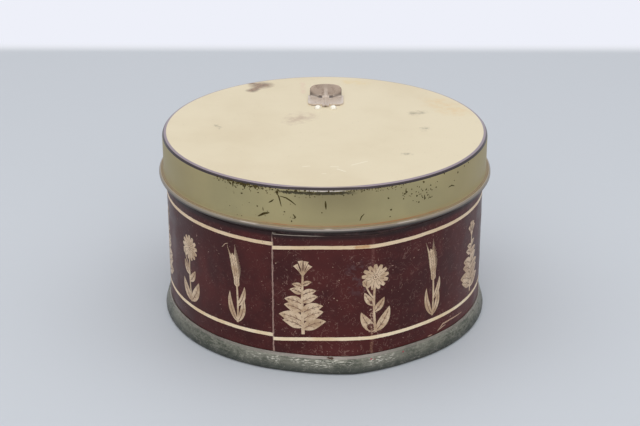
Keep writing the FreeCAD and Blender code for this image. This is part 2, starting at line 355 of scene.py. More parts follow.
bare_tin, tree, shader, place = finish("bare_tinplate")
on_tin = use(tree, tin_place, place=place)
dull = use(tree, tarnish, place=place, broad=140.0, fine=900.0, cover=0.62)["Mask"]
hairs = use(tree, hair_scratches, place=place, scale=260.0, width=0.03, amount=0.6)["Mask"]
drawn = stretched(tree, on_tin["Wrapped"], 0.35, 1.6, 1.0)
streaks = spread(tree, cloud(tree, drawn, 0.9, 4.0, 0.62), 0.44, 0.58)
scraped = spread(tree, cloud(tree, drawn, 1.9, 4.0, 0.65), 0.52, 0.57)
scrape_zone = times(
    tree,
    between(tree, on_tin["Angle"], -24.0, 24.0, 9.0),
    between(tree, on_tin["Height"], 2.6, 4.7, 0.5),
)
scrape_patches = spread(tree, cloud(tree, place, 120.0, 3.0, 0.55), 0.46, 0.60)
scraped = times(tree, scraped, sum_up(tree, "MULTIPLY_ADD", scrape_zone, 0.9, 0.1))
scraped = times(tree, scraped, scrape_patches)
streaks = times(tree, streaks, spread(tree, cloud(tree, place, 70.0, 3.0, 0.5), 0.4, 0.62, 0.15, 0.8))
# Painted shade: the band darkens towards its foot, which faces down.
low_painted_shade = spread(tree, on_tin["Height"], 1.2, 3.6, 1.0, 0.0)
# Painted highlight along the band's top edge, strongest at the front.
painted_edge_highlight = spread(tree, on_tin["Height"], base_top - 1.1, base_top - 0.55)
highlight_front_share = between(tree, on_tin["Angle"], -14.0, 18.0, 12.0)
painted_edge_highlight = times(tree, painted_edge_highlight, sum_up(tree, "MULTIPLY_ADD", highlight_front_share, 0.45, 0.3))
grey = coats(
    tree,
    blend(tree, dull, tone(122, 121, 108), tone(99, 100, 89)),
    (streaks, (70, 74, 62)),
    (times(tree, low_painted_shade, 0.8), (58, 62, 57)),
    (painted_edge_highlight, (194, 180, 170)),
    (times(tree, hairs, 0.3), (168, 164, 150)),
    (scraped, (206, 202, 188)),
)
uneven = sum_up(tree, "MULTIPLY_ADD", hairs, 0.3, cloud(tree, place, 420.0, 5.0, 0.6))
feed(
    tree,
    shader,
    Base_Color=grey,
    Metallic=0.5,
    Roughness=spread(tree, dull, 0.0, 1.0, 0.40, 0.57),
    Normal=relief(tree, uneven, 0.0002, 0.4),
)
base_pan.data.materials.append(bare_tin)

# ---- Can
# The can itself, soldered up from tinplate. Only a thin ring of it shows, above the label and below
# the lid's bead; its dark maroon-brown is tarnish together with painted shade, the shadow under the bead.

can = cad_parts["body"]
can_metal, tree, shader, place = finish("can_tinplate")
dull = use(tree, tarnish, place=place, broad=120.0, fine=800.0, cover=0.8)["Mask"]
# The dark maroon-brown stands partly for the shadow under the bead: painted shade.
brown = blend(tree, dull, tone(70, 40, 36), tone(46, 26, 24))
grain = cloud(tree, place, 900.0, 4.0, 0.6)
feed(
    tree,
    shader,
    Base_Color=blend(tree, spread(tree, grain, 0.35, 0.7, 0.0, 0.4), brown, tone(30, 20, 18)),
    Metallic=0.2,
    Roughness=spread(tree, dull, 0.0, 1.0, 0.5, 0.65),
    Normal=relief(tree, grain, 0.0001, 0.4),
)
can.data.materials.clear()
can.data.materials.append(can_metal)

# ---- Paper label
# A strip of thin card, printed dark maroon and varnished, wrapped round the can and pasted over its
# own end. The lapped end has come up a little from the can, its edge worn to bare paper, and a
# vertical fold to the right of it has cracked the varnish.

label_low, label_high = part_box("label")
LABEL_BOTTOM = label_low.z / MM
TOP_EDGE_ROOM = 0.25
LABEL_TOP = label_high.z / MM - TOP_EDGE_ROOM
PAPER_RADIUS = can_radius + PAPER_THICK
LAP_ANGLE = -17.4
LAP_LIFT = 1.0
LAP_FOOT_LIFT = 0.3
LAP_UNDER = 7.0
CREASE_ANGLE = 16.0
CREASE_LIFT = 1.4
CORNER_FOOT = base_top + 3.4


def held(share):
    """A share kept between 0 and 1."""
    return min(1.0, max(0.0, share))


def wall_push(angle):
    return soft_corner(angle, CREASE_ANGLE, CREASE_LIFT)


def paper_push(angle, height):
    """How far the paper stands off the round, in mm; the lap's lift belongs to the upper sheet only."""
    share = held((height - base_top) / (CORNER_FOOT - base_top))
    share = share * share * (3 - 2 * share)
    lap = 0.0
    if LAP_ANGLE <= angle < LAP_ANGLE + CORNER_REACH:
        lap = soft_corner(angle, LAP_ANGLE, 1.0)
    low = foot_push(angle) + lap * LAP_FOOT_LIFT
    high = wall_push(angle) + lap * LAP_LIFT
    ripple = 0.03 * noise.noise(Vector((angle * 0.25, 3.1, height * 0.2)))
    return low + (high - low) * share + ripple


def on_paper(angle, height, proud=0.0):
    """A point on the label's face, or so many mm proud of it."""
    return around(PAPER_RADIUS + paper_push(angle, height) + proud, angle, height)


def paper_sheet():
    """The wrap as one sheet with real thickness: face, back, top and bottom edges and both ends."""
    first = LAP_ANGLE
    last = LAP_ANGLE + 360 + LAP_UNDER
    columns = 500
    rows = 48
    sheet = bmesh.new()
    faces = []
    for side in (0.0, -PAPER_THICK):
        grid = []
        for i in range(columns + 1):
            angle = first + (last - first) * i / columns
            top = LABEL_TOP + 0.12 * noise.noise(Vector((angle * 0.35, 1.0, 0.0)))
            column = []
            for j in range(rows + 1):
                height = LABEL_BOTTOM + (top - LABEL_BOTTOM) * j / rows
                here = angle
                if i == 0:
                    here += 0.10 * noise.noise(Vector((height * 0.5, 5.0, 2.0)))
                column.append(sheet.verts.new(on_paper(here, height, side)))
            grid.append(column)
        faces.append(grid)
    face, back = faces
    for i in range(columns):
        for j in range(rows):
            sheet.faces.new((face[i][j], face[i + 1][j], face[i + 1][j + 1], face[i][j + 1]))
            sheet.faces.new((back[i][j], back[i][j + 1], back[i + 1][j + 1], back[i + 1][j]))
        sheet.faces.new((back[i][0], back[i + 1][0], face[i + 1][0], face[i][0]))
        sheet.faces.new((face[i][rows], face[i + 1][rows], back[i + 1][rows], back[i][rows]))
    for i, flip in ((0, False), (columns, True)):
        for j in range(rows):
            end = [face[i][j], face[i][j + 1], back[i][j + 1], back[i][j]]
            sheet.faces.new(end[::-1] if flip else end)
    return stand("paper_label", sheet, sharp=50)


paper_label = paper_sheet()
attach(paper_label, "root")
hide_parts("label")

# A drawn-out mark between two places in mm, ragged along its edges: 1 on the mark, 0 off it.
mark, given, result = new_group(
    "Mark",
    {"Point": (0, 0, 0), "Start": (0, 0, 0), "End": (1, 0, 0), "Width": 0.3, "Ragged": 0.3, "Grain": 1.5},
)
grained = {"Vector": given["Point"], "Scale": given["Grain"], "Detail": 3.0}
rag = put(mark, "ShaderNodeTexNoise", grained).outputs[1]
rag = vector_sum(mark, "SUBTRACT", rag, (0.5, 0.5, 0.5)).outputs[0]
rag = scaled(mark, rag, given["Ragged"])
here = vector_sum(mark, "ADD", given["Point"], rag).outputs[0]
reach = vector_sum(mark, "SUBTRACT", here, given["Start"]).outputs[0]
length = vector_sum(mark, "SUBTRACT", given["End"], given["Start"]).outputs[0]
along = vector_sum(mark, "DOT_PRODUCT", reach, length).outputs["Value"]
whole = vector_sum(mark, "DOT_PRODUCT", length, length).outputs["Value"]
share = sum_up(mark, "DIVIDE", along, sum_up(mark, "ADD", whole, 0.0001), clamp=True)
off = vector_sum(mark, "SUBTRACT", reach, scaled(mark, length, share)).outputs[0]
off = put(mark, "ShaderNodeVectorMath", {0: off}, operation="LENGTH").outputs["Value"]
inner = times(mark, given["Width"], 0.25)
feed(mark, result, Mask=spread(mark, off, inner, given["Width"], 1.0, 0.0, "LINEAR"))


def marks(tree, point, strokes, ragged=0.3, grain=1.5):
    """Several marks as one mask, each stroke given as start, end and width in mm."""
    total = 0.0
    for start, end, width in strokes:
        ends = {"start": (*start, 0.0), "end": (*end, 0.0)}
        one = use(tree, mark, point=point, **ends, width=width, ragged=ragged, grain=grain)
        total = either(tree, total, one["Mask"])
    return total


def round_mm(angle):
    """Degrees from the front as mm round the can."""
    return math.radians(angle) * can_radius


# Small knocks through the varnish: scattered chips that show the pale paper.
chips, given, result = new_group("Chips", {"Place": (0, 0, 0), "Scale": 900.0, "Amount": 0.5})
small = cloud(chips, given["Place"], given["Scale"], 2.0, 0.55, 0.6)
zones = times(chips, given["Scale"], 0.13)
where = cloud(chips, given["Place"], zones, 3.0)
raised = sum_up(chips, "MULTIPLY_ADD", where, 0.35, small)
level = sum_up(chips, "SUBTRACT", 0.98, times(chips, given["Amount"], 0.2))
full = sum_up(chips, "ADD", level, 0.03)
feed(chips, result, Mask=spread(chips, raised, level, full, ease="LINEAR"))

card, tree, shader, place = finish("printed_paper")
on_tin = use(tree, tin_place, place=place)
shade = cloud(tree, place, 60.0, 4.0, 0.55)
ground = blend(tree, spread(tree, shade, 0.35, 0.65), tone(60, 15, 14), tone(78, 25, 22))
fog = spread(tree, cloud(tree, place, 230.0, 5.0, 0.65), 0.52, 0.72, 0.0, 0.35)
hairs = use(tree, hair_scratches, place=place, scale=190.0, width=0.016, amount=0.62)["Mask"]
chipped = use(tree, chips, place=place, scale=1500.0, amount=0.38)["Mask"]
# Right of the lap the varnish is more scratched than elsewhere, and less so round the side.
lap_right = spread(tree, on_tin["Angle"], LAP_ANGLE - 0.2, LAP_ANGLE + 4.0)
lap_right = times(tree, lap_right, spread(tree, on_tin["Angle"], 10.0, 40.0, 1.0, 0.35))
hairs = times(tree, hairs, sum_up(tree, "MULTIPLY_ADD", lap_right, 0.6, 0.25))
lap_edge = sum_up(tree, "SUBTRACT", on_tin["Round"], round_mm(LAP_ANGLE))
edge_wander = sum_up(tree, "MULTIPLY_ADD", cloud(tree, place, 500.0, 3.0), 0.5, 0.12)
edge_worn = sum_up(tree, "LESS_THAN", sum_up(tree, "ABSOLUTE", lap_edge), edge_wander)
crease_at = sum_up(tree, "SUBTRACT", on_tin["Round"], round_mm(CREASE_ANGLE))
# The fold's cracked varnish is chipped to bare card near its foot.
crease_near = spread(tree, sum_up(tree, "ABSOLUTE", crease_at), 0.1, 0.75, 1.0, 0.0)
crease_grain = spread(tree, cloud(tree, place, 1300.0, 4.0, 0.65), 0.44, 0.58)
crease_tone = times(tree, crease_near, sum_up(tree, "MULTIPLY_ADD", crease_grain, 0.6, 0.4))
crease_low = spread(tree, on_tin["Height"], 13.0, 20.0, 1.0, 0.0)
cracks = spread(tree, cloud(tree, place, 3400.0, 4.0, 0.7), 0.50, 0.60, 0.0, 0.75)
crease_chips = times(tree, times(tree, crease_near, crease_low), cracks)
worn = either(tree, times(tree, hairs, 0.38), times(tree, chipped, 0.8))
scuffed = times(
    tree,
    between(tree, on_tin["Angle"], 7.0, 15.0, 2.5),
    between(tree, on_tin["Height"], 27.0, 38.0, 3.0),
)
scuffed = times(tree, scuffed, spread(tree, cloud(tree, place, 520.0, 4.0, 0.6), 0.46, 0.62, 0.0, 0.75))
top_worn = spread(tree, on_tin["Height"], LABEL_TOP - 0.30, LABEL_TOP - 0.12)
top_worn = times(tree, top_worn, spread(tree, on_tin["Angle"], -4.0, 2.0, 1.0, 0.15))
top_worn = times(tree, top_worn, sum_up(tree, "GREATER_THAN", on_tin["Angle"], LAP_ANGLE - 0.1))
# Painted shadow under the lid's bead: the label's top darkens, except where its lapped top edge is worn.
bead_shadow_paint = spread(tree, on_tin["Height"], LABEL_TOP - 2.1, LABEL_TOP - 0.5, 0.0, 0.8)
bead_shadow_paint = times(tree, bead_shadow_paint, sum_up(tree, "SUBTRACT", 1.0, top_worn))
colour = coats(
    tree,
    ground,
    (fog, (92, 42, 38)),
    (scuffed, (88, 60, 62)),
    (times(tree, crease_tone, 0.55), (120, 76, 70)),
    (worn, (178, 142, 128)),
    (crease_chips, (172, 134, 98)),
    (times(tree, edge_worn, 0.85), (178, 146, 134)),
    (top_worn, (170, 158, 146)),
    (bead_shadow_paint, (30, 14, 13)),
)
varnish = sum_up(tree, "MULTIPLY_ADD", hairs, -0.5, cloud(tree, place, 160.0, 3.0))
varnish = sum_up(tree, "SUBTRACT", varnish, times(tree, crease_tone, 0.8))
feed(
    tree,
    shader,
    Base_Color=colour,
    Roughness=spread(tree, cloud(tree, place, 120.0, 4.0), 0.3, 0.7, 0.32, 0.46),
    Normal=relief(tree, varnish, 0.00015, 0.35),
)
shader.inputs["Specular IOR Level"].default_value = 0.27
paper_label.data.materials.append(card)

# ---- Cream rules
# Two thin cream rules printed round the label above and below the row of plants. The paper was put
# on slightly out of true, so at the lap the right-hand end sits a little lower than the left. The
# upper rule is darkened with painted shade, as it lies under the lid's bead.

RULE_WIDTH = 1.17
UPPER_RULE = 42.8
LOWER_RULE = 11.6
PRINT_PROUD = 0.025
OUT_OF_TRUE = 0.8
RULE_START = LAP_ANGLE + 0.25
RULE_TURN = 360.6


def print_drop(angle):
    """How far the print has slipped down, in mm, easing off to the right of the lap."""
    share = (angle - LAP_ANGLE) / -LAP_ANGLE
    return OUT_OF_TRUE * max(0.0, 1.0 - max(0.0, share)) ** 1.5


def ribbon(name, heights, material):
    """Printed bands all round the label, from the lap to just under it."""
    band_mesh = bmesh.new()
    columns = 560
    for centre in heights:
        before = None
        for i in range(columns + 1):
            angle = RULE_START + RULE_TURN * i / columns
            fuzz = 0.07 * noise.noise(Vector((angle * 1.7, centre, 0.0)))
            middle = centre - print_drop(angle) + 0.05 * noise.noise(Vector((angle * 0.2, centre, 4.0)))
            half = RULE_WIDTH / 2 + fuzz
            heights_across = (middle - half, middle, middle + half)
            cross = [band_mesh.verts.new(on_paper(angle, up, PRINT_PROUD)) for up in heights_across]
            if before:
                for low in (0, 1):
                    band_mesh.faces.new((before[low], cross[low], cross[low + 1], before[low + 1]))
            before = cross
    piece = stand(name, band_mesh)
    piece.data.materials.append(material)
    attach(piece, "root")


cream_ink, tree, shader, place = finish("cream_ink")
on_tin = use(tree, tin_place, place=place)
patches = cloud(tree, place, 120.0, 4.0, 0.6)
orange_run = ((round_mm(10.5), UPPER_RULE), (round_mm(14.5), UPPER_RULE), 0.8)
orange = marks(tree, on_tin["Wrapped"], [orange_run], 1.2, 0.5)
rubbed = spread(tree, cloud(tree, place, 1400.0, 4.0, 0.6), 0.64, 0.72, 0.0, 0.7)
ink = coats(
    tree,
    blend(tree, spread(tree, patches, 0.35, 0.7), tone(250, 230, 196), tone(236, 208, 166)),
    # painted shade: the upper rule, under the lid's bead, is darker and pinker
    (spread(tree, on_tin["Height"], 30.0, 40.0, 0.0, 0.5), (222, 190, 154)),
    (times(tree, orange, 0.75), (196, 140, 84)),
    (rubbed, (120, 84, 66)),
)
feed(
    tree,
    shader,
    Base_Color=ink,
    Roughness=0.42,
    Coat_Weight=sum_up(tree, "MULTIPLY_ADD", rubbed, -0.2, 0.2),
    Normal=relief(tree, patches, 0.0001, 0.3),
)
shader.inputs["Coat Roughness"].default_value = 0.28
ribbon("cream_rules", (UPPER_RULE, LOWER_RULE), cream_ink)

# ---- Printed plants
# A row of old-fashioned plants printed on the label in cream with brown line work: a broad-leaved
# plant in flower, a daisy and an ear of barley, in turn, all standing just above the lower rule.

PLANT_FOOT = 13.3
PLANT_COUNT = 15
PLANT_STEP = 360.0 / PLANT_COUNT
FIRST_PLANT = -7.0


def printed(proud):
    """The label's face for print, so many mm proud, with the print's own slip out of true."""
    return lambda angle, height: on_paper(angle, height - print_drop(angle), proud)


def ring_places(x, y, radius, steps):
    """Evenly spaced places round a circle."""
    turns = [2 * math.pi * k / steps for k in range(steps)]
    return [(x + radius * math.cos(turn), y + radius * math.sin(turn)) for turn in turns]


class Print:
    """Flat shapes drawn in mm about a foot on the tin, then laid on one of its faces."""

    def __init__(self, name, face, foot_height):
        self.name = name
        self.face = face
        self.foot_height = foot_height
        self.shapes = bmesh.new()
        self.foot = 0.0

    def point(self, x, y):
        angle = self.foot + math.degrees(x / PAPER_RADIUS)
        return self.shapes.verts.new(self.face(angle, self.foot_height + y))

    def stroke(self, path, width, steps=12):
        """A filled stroke along path(t), with a half width of width(t), t from 0 to 1."""
        before = None
        for k in range(steps + 1):
            t = k / steps
            x, y = path(t)
            ahead = path(min(1.0, t + 0.01))
            behind = path(max(0.0, t - 0.01))
            dx, dy = ahead[0] - behind[0], ahead[1] - behind[1]
            size = math.hypot(dx, dy) or 1.0
            half = max(0.02, width(t))
            side = (-dy / size * half, dx / size * half)
            pair = (self.point(x - side[0], y - side[1]), self.point(x + side[0], y + side[1]))
            if before:
                self.shapes.faces.new((before[0], pair[0], pair[1], before[1]))
            before = pair

    def disc(self, x, y, radius, steps=16):
        centre = self.point(x, y)
        ring = [self.point(*place) for place in ring_places(x, y, radius, steps)]
        for k in range(steps):
            self.shapes.faces.new((centre, ring[k], ring[(k + 1) % steps]))

    def settle(self, material):
        """Lay the shapes down as one piece, all facing out."""
        bmesh.ops.recalc_face_normals(self.shapes, faces=self.shapes.faces)
        for face in self.shapes.faces:
            middle = face.calc_center_median()
            if face.normal.x * middle.x + face.normal.y * middle.y < 0:
                face.normal_flip()
        piece = stand(self.name, self.shapes, smooth=False)
        piece.data.materials.append(material)
        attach(piece, "root")


cream = Print("plants_cream", printed(PRINT_PROUD + 0.005), PLANT_FOOT)
brown_lines = Print("plants_brown", printed(PRINT_PROUD + 0.02), PLANT_FOOT)


def bend(start, heading, length, curl):
    """A path from a point at a heading in degrees, curling by so many degrees over its length."""

    def path(t):
        turn = math.radians(heading + curl * t / 2)
        return (start[0] + length * t * math.cos(turn), start[1] + length * t * math.sin(turn))

    return path


def leaf_width(widest, early=0.8):
    return lambda t: widest * math.sin(math.pi * min(1.0, t ** early)) ** 0.85


def even(width):
    return lambda t: width


def leaf(start, heading, length, widest, curl, veins=3):
    """A leaf blade with a brown midrib and side veins."""
    path = bend(start, heading, length, curl)
    cream.stroke(path, leaf_width(widest), 14)
    brown_lines.stroke(lambda t: path(0.08 + 0.8 * t), lambda t: 0.13 * (1 - 0.6 * t), 8)
    for k in range(veins):
        root_at = 0.25 + 0.5 * k / max(1, veins - 1)
        root = path(root_at)
        for side in (-1, 1):
            way = heading + curl * root_at + side * 42
            brown_lines.stroke(bend(root, way, widest * 0.8 * (1.1 - root_at), -side * 20), even(0.06), 3)


def broad_plant():
    """A tall broad-leaved plant with a head of small trumpet flowers."""
    stem = bend((0, 0), 93, 21.5, -6)
    cream.stroke(stem, lambda t: 0.5 - 0.2 * t, 14)
    leaves = ((0.08, 7.6, 1.9), (0.2, 7.8, 2.1), (0.34, 6.8, 1.9), (0.48, 5.8, 1.6), (0.62, 4.6, 1.25),
              (0.75, 3.4, 0.9))
    for k, (height, length, widest) in enumerate(leaves):
        side = 1 if k % 2 == 0 else -1
        leaf(stem(height), 90 - side * 52, length, widest, -side * 34)
        leaf(stem(height + 0.03), 90 + side * 48, length * 0.9, widest * 0.9, side * 38)
    for heading, length in ((58, 4.2), (78, 5.0), (98, 5.2), (120, 4.4)):
        foot = stem(0.93)
        way = bend(foot, heading, length, 0)
        cream.stroke(way, lambda t: 0.22 + 0.75 * max(0.0, t - 0.45) ** 1.2 * 1.6, 8)
        brown_lines.stroke(lambda t, way=way: way(0.35 + 0.5 * t), even(0.07), 4)


def daisy_plant():
    """A bending daisy with two leaves at its foot and a bud."""
    stem = bend((0.4, 0), 98, 19.0, -14)
    cream.stroke(stem, even(0.36), 14)
    leaf((0.3, 0.4), 42, 9.0, 1.7, 36)
    leaf((0.2, 0.4), 140, 8.2, 1.6, -34)
    leaf(stem(0.38), 40, 5.6, 1.2, 28)
    leaf(stem(0.5), 138, 5.4, 1.15, -30)
    bud = bend(stem(0.62), 132, 5.2, -26)
    cream.stroke(bud, even(0.24), 6)
    tip = bud(1.0)
    cream.stroke(bend((tip[0] + 0.2, tip[1] - 0.4), 108, 2.6, 0), leaf_width(0.95), 8)
    for heading in (96, 120):
        brown_lines.stroke(bend((tip[0] + 0.2, tip[1] - 0.1), heading, 1.7, 0), even(0.07), 3)
    head = stem(1.0)
    petals = 13
    for k in range(petals):
        way = 360 * k / petals + 6
        petal_foot = (head[0] + math.cos(math.radians(way)), head[1] + math.sin(math.radians(way)))
        petal = bend(petal_foot, way, 3.3, 6)
        cream.stroke(petal, lambda t: 0.30 + 0.42 * math.sin(math.pi * min(1.0, t * 0.9)), 8)
        brown_lines.stroke(lambda t, petal=petal: petal(0.1 + 0.5 * t), even(0.055), 3)
    cream.disc(head[0], head[1], 1.35)
    for x, y in ring_places(*head, 0.85, 9):
        brown_lines.disc(x, y, 0.17, 6)
    brown_lines.disc(head[0], head[1], 0.3, 8)


def barley_plant():
    """An ear of barley with long awns, on a stalk with two blades."""
    stalk = bend((-0.2, 0), 86, 13.0, 8)
    cream.stroke(stalk, even(0.33), 10)
    leaf((-0.2, 0.2), 128, 10.5, 1.0, -46, 0)
    leaf((-0.1, 0.2), 54, 9.5, 1.0, 48, 0)
    leaf(stalk(0.45), 48, 7.5, 0.9, 44, 0)
    ear = bend(stalk(0.96), 92, 9.4, 10)
    grains = 9
    for k in range(grains):
        at = ear(k / grains)
        heading = 92 + 10 * k / grains
        for side in (-1, 1):
            grain_way = bend(at, heading + side * 26, 2.3, -side * 16)
            cream.stroke(grain_way, leaf_width(0.62, 0.75), 7)
            brown_lines.stroke(lambda t, way=grain_way: way(0.2 + 0.55 * t), even(0.06), 3)
            awn = bend(grain_way(0.95), heading + side * 17, 4.8 - 0.12 * k, -side * 8)
            cream.stroke(awn, lambda t: 0.11 * (1.1 - t), 4)
    cream.stroke(bend(ear(0.97), 102, 2.2, 0), leaf_width(0.6), 6)


PLANTS = (broad_plant, daisy_plant, barley_plant)
for k in range(PLANT_COUNT):
    foot_angle = FIRST_PLANT + PLANT_STEP * k
    cream.foot = foot_angle
    brown_lines.foot = foot_angle
    PLANTS[k % len(PLANTS)]()

plant_ink, tree, shader, place = finish("plant_ink")
wash = cloud(tree, place, 260.0, 5.0, 0.6)
ink = blend(tree, spread(tree, wash, 0.38, 0.62), tone(222, 196, 164), tone(188, 156, 122))
hatch = cloud(tree, place, 1500.0, 4.0, 0.7)
ink = blend(tree, spread(tree, hatch, 0.55, 0.7, 0.0, 0.75), ink, tone(122, 84, 62))
feed(
    tree,
    shader,
    Base_Color=ink,
    Roughness=0.42,
    Coat_Weight=spread(tree, hatch, 0.4, 0.7, 0.3, 0.15),
    Normal=relief(tree, wash, 0.0001, 0.3),
)
shader.inputs["Coat Roughness"].default_value = 0.28


def mottled(name, grain, edges, tones, roughness, depth, strength=0.4, metallic=0.0):
    """A finish of two tones in one noise: its waves a metre, detail and roughness, and its edges."""
    material, tree, shader, place = finish(name)
    mottle = cloud(tree, place, *grain)
    feed(
        tree,
        shader,
        Base_Color=blend(tree, spread(tree, mottle, *edges), tone(*tones[0]), tone(*tones[1])),
        Metallic=metallic,
        Roughness=spread(tree, mottle, 0.3, 0.7, *roughness),
        Normal=relief(tree, mottle, depth, strength),
    )
    return material


line_tones = ((92, 58, 46), (132, 92, 70))
line_ink = mottled("line_ink", (900.0, 3.0, 0.6), (0.35, 0.65), line_tones, (0.38, 0.5), 0.00005, 0.3)
cream.settle(plant_ink)
brown_lines.settle(line_ink)

# ---- Scars on the label
# Knocks and scratches that have gone through the varnish and print to the pale card: one long
# scratch low on the right, short ones and a scatter of flecks.

SCAR_PROUD = PRINT_PROUD + 0.03
FLECK_SIDES = 7
CREASE_FLECKS = 46
LOOSE_FLECKS = 70


def through(places):
    """A path through places given as degrees from the front and mm up."""
    spots = [(math.radians(angle) * PAPER_RADIUS, height) for angle, height in places]

    def path(t):
        along = t * (len(spots) - 1)
        k = min(int(along), len(spots) - 2)
        (x0, y0), (x1, y1) = spots[k], spots[k + 1]
        return (x0 + (x1 - x0) * (along - k), y0 + (y1 - y0) * (along - k))

    return path


def tapered(width):
    return lambda t: width * (0.35 + 0.65 * math.sin(math.pi * held(t)))


def scratch(sheet, places, width):
    sheet.stroke(through(places), tapered(width / 2), 6 * (len(places) - 1))


def fleck(sheet, angle, height, radius, dice):
    """A small ragged spot."""
    x = math.radians(angle) * PAPER_RADIUS
    centre = sheet.point(x, height)
    ring = []
    for k in range(FLECK_SIDES):
        turn = 2 * math.pi * k / FLECK_SIDES
        reach = radius * dice.uniform(0.55, 1.25)
        ring.append(sheet.point(x + reach * math.cos(turn), height + reach * math.sin(turn)))
    for k in range(FLECK_SIDES):
        sheet.shapes.faces.new((centre, ring[k], ring[(k + 1) % FLECK_SIDES]))


dice = random.Random(11)
scars = Print("label_scars", lambda angle, height: on_paper(angle, height, SCAR_PROUD), 0.0)
scratch(scars, ((43.8, 6.7), (46.4, 8.4), (50.4, 8.5), (58.6, 8.2)), 0.55)
scratch(scars, ((44.6, 6.9), (46.2, 7.4), (48.0, 7.6)), 0.4)
scratch(scars, ((39.0, 6.2), (41.1, 6.3)), 0.35)
scratch(scars, ((-34.5, 39.9), (-35.8, 39.4), (-37.2, 37.9)), 0.22)
scratch(scars, ((-12.9, 18.5), (-12.3, 17.9)), 0.5)
for angle, height in ((3.3, 25.7), (4.3, 25.0), (5.0, 31.8), (2.9, 36.3), (-16.0, 36.9)):
    fleck(scars, angle, height, 0.2, dice)
for k in range(CREASE_FLECKS):
    fleck(scars, dice.gauss(15.9, 0.5), dice.uniform(12.8, 21.5), dice.uniform(0.08, 0.24), dice)
for k in range(LOOSE_FLECKS):
    fleck(scars, dice.uniform(-16.5, 60.0), dice.uniform(8.0, 45.0), dice.uniform(0.05, 0.13), dice)

card_tones = ((206, 178, 152), (168, 132, 112))
bare_card = mottled("bare_card", (2400.0, 4.0, 0.7), (0.4, 0.62), card_tones, (0.7, 0.85), 0.00004)
scars.settle(bare_card)

# ---- Paint flecks on the base
# Stray flecks of red paint and a brown rust notch on the base pan's band at the front. The paint
# has dried on where it landed, and the rust sits at the band's free edge.


def on_band(angle, height):
    """A point just proud of the base pan's band, between its swell and its free edge."""
    share = held((height - (base_top - 1.5)) / 1.0)
    radius = can_radius + BAND_SWELL + 0.02 - 0.5 * share
    return around(radius + pan_push(angle, radius, height) + 0.06, angle, height)


dice = random.Random(5)
RED_SPOTS = ((15.8, 4.25, 0.34), (27.7, 4.15, 0.42), (16.9, 4.1, 0.22))
RUST_SPOTS = ((2.2, 5.35, 0.5), (1.7, 5.4, 0.42), (2.8, 5.38, 0.42), (1.1, 5.45, 0.3))
FLECK_PAINTS = (
    ("red_paint", RED_SPOTS, ((172, 74, 82), (140, 62, 66))),
    ("rust_notch", RUST_SPOTS, ((92, 62, 40), (66, 44, 30))),
)
for name, spots, tones in FLECK_PAINTS:
    daub = Print(f"base_{name}", on_band, 0.0)
    for angle, height, radius in spots:
        fleck(daub, angle, height, radius, dice)
    paint = mottled(name, (2200.0, 4.0, 0.6), (0.4, 0.6), tones, (0.5, 0.65), 0.00004)
    daub.settle(paint)

# ---- Lid
# A slip-on cap drawn from one disc of tinplate, its edge turned out and rolled into a bead. The top
# is enamelled cream and the skirt olive-gold; the shoulder is rubbed through to the metal and the
# bead was never painted. Rust has crept along the foot of the skirt.

lid_low, lid_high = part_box("lid")
LID_TOP = lid_high.z / MM
BEAD_BOTTOM = lid_low.z / MM
BEAD_RADIUS = 0.8
BEAD_CENTRE = lid_high.x / MM - BEAD_RADIUS
SKIRT = can_radius + 1.1
LID_SHEET = 0.3
SKIRT_INSIDE = SKIRT - LID_SHEET
SHOULDER = 1.3
TOP_DISH = 0.02
TOP_ROUND_TO = 40.0
SKIRT_FALL = 12.0
RIM_SHINE_FROM = 51.95
RIM_SHINE_FULL = 52.15

lid_profile = (
    [(0.0, LID_TOP - TOP_DISH)]
    + run((0.0, LID_TOP - TOP_DISH), (SKIRT - SHOULDER - 1.6, LID_TOP - TOP_DISH), 26)
    + [(SKIRT - SHOULDER - 1.2, LID_TOP - 0.01)]
    + arc(SKIRT - SHOULDER, LID_TOP - SHOULDER, SHOULDER, 90, 0, 10)
    + run((SKIRT, LID_TOP - SHOULDER), (SKIRT - 0.02, BEAD_BOTTOM + 2.4), 9)
    + [(SKIRT, BEAD_BOTTOM + 2.1), (SKIRT + 0.07, BEAD_BOTTOM + 1.86)]
    + arc(BEAD_CENTRE, BEAD_BOTTOM + BEAD_RADIUS, BEAD_RADIUS, 112, -125, 16)
    + [(SKIRT - 0.05, BEAD_BOTTOM + 0.55), (SKIRT_INSIDE + 0.02, BEAD_BOTTOM + 0.9)]
    + run((SKIRT_INSIDE, BEAD_BOTTOM + 1.0), (SKIRT_INSIDE, LID_TOP - SHOULDER), 5)
    + arc(SKIRT - SHOULDER, LID_TOP - SHOULDER, SHOULDER - LID_SHEET, 0, 90, 5)
    + [(0.0, LID_TOP - LID_SHEET)]
)


def lid_push(angle, radius, height):
    """Small losses of roundness in the skirt and bead; the flat top is left round."""
    if radius < TOP_ROUND_TO:
        return 0.0
    turn = math.radians(angle)
    low = held((LID_TOP - height) / SKIRT_FALL)
    flat = 0.16 * noise.noise(Vector((math.cos(turn) * 1.6, math.sin(turn) * 1.6, 9.0)))
    tight = held((BEAD_CENTRE + BEAD_RADIUS - 0.35 - radius) / 0.5)
    nick = 0.10 * low * noise.noise(Vector((math.cos(turn) * 9.0, math.sin(turn) * 9.0, 2.0)))
    return -0.03 + 0.4 * min(0.0, flat) * low + 0.3 * min(0.0, nick) * tight


lid_cap = turned("lid_cap", lid_profile, lid_push, 540)
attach(lid_cap, "root")
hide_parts("lid")

enamel, tree, shader, place = finish("lid_enamel")
on_tin = use(tree, tin_place, place=place)
depth_down = sum_up(tree, "SUBTRACT", LID_TOP, on_tin["Height"])
above_bead = sum_up(tree, "SUBTRACT", on_tin["Height"], BEAD_BOTTOM)
off_front = sum_up(tree, "ABSOLUTE", on_tin["Angle"])

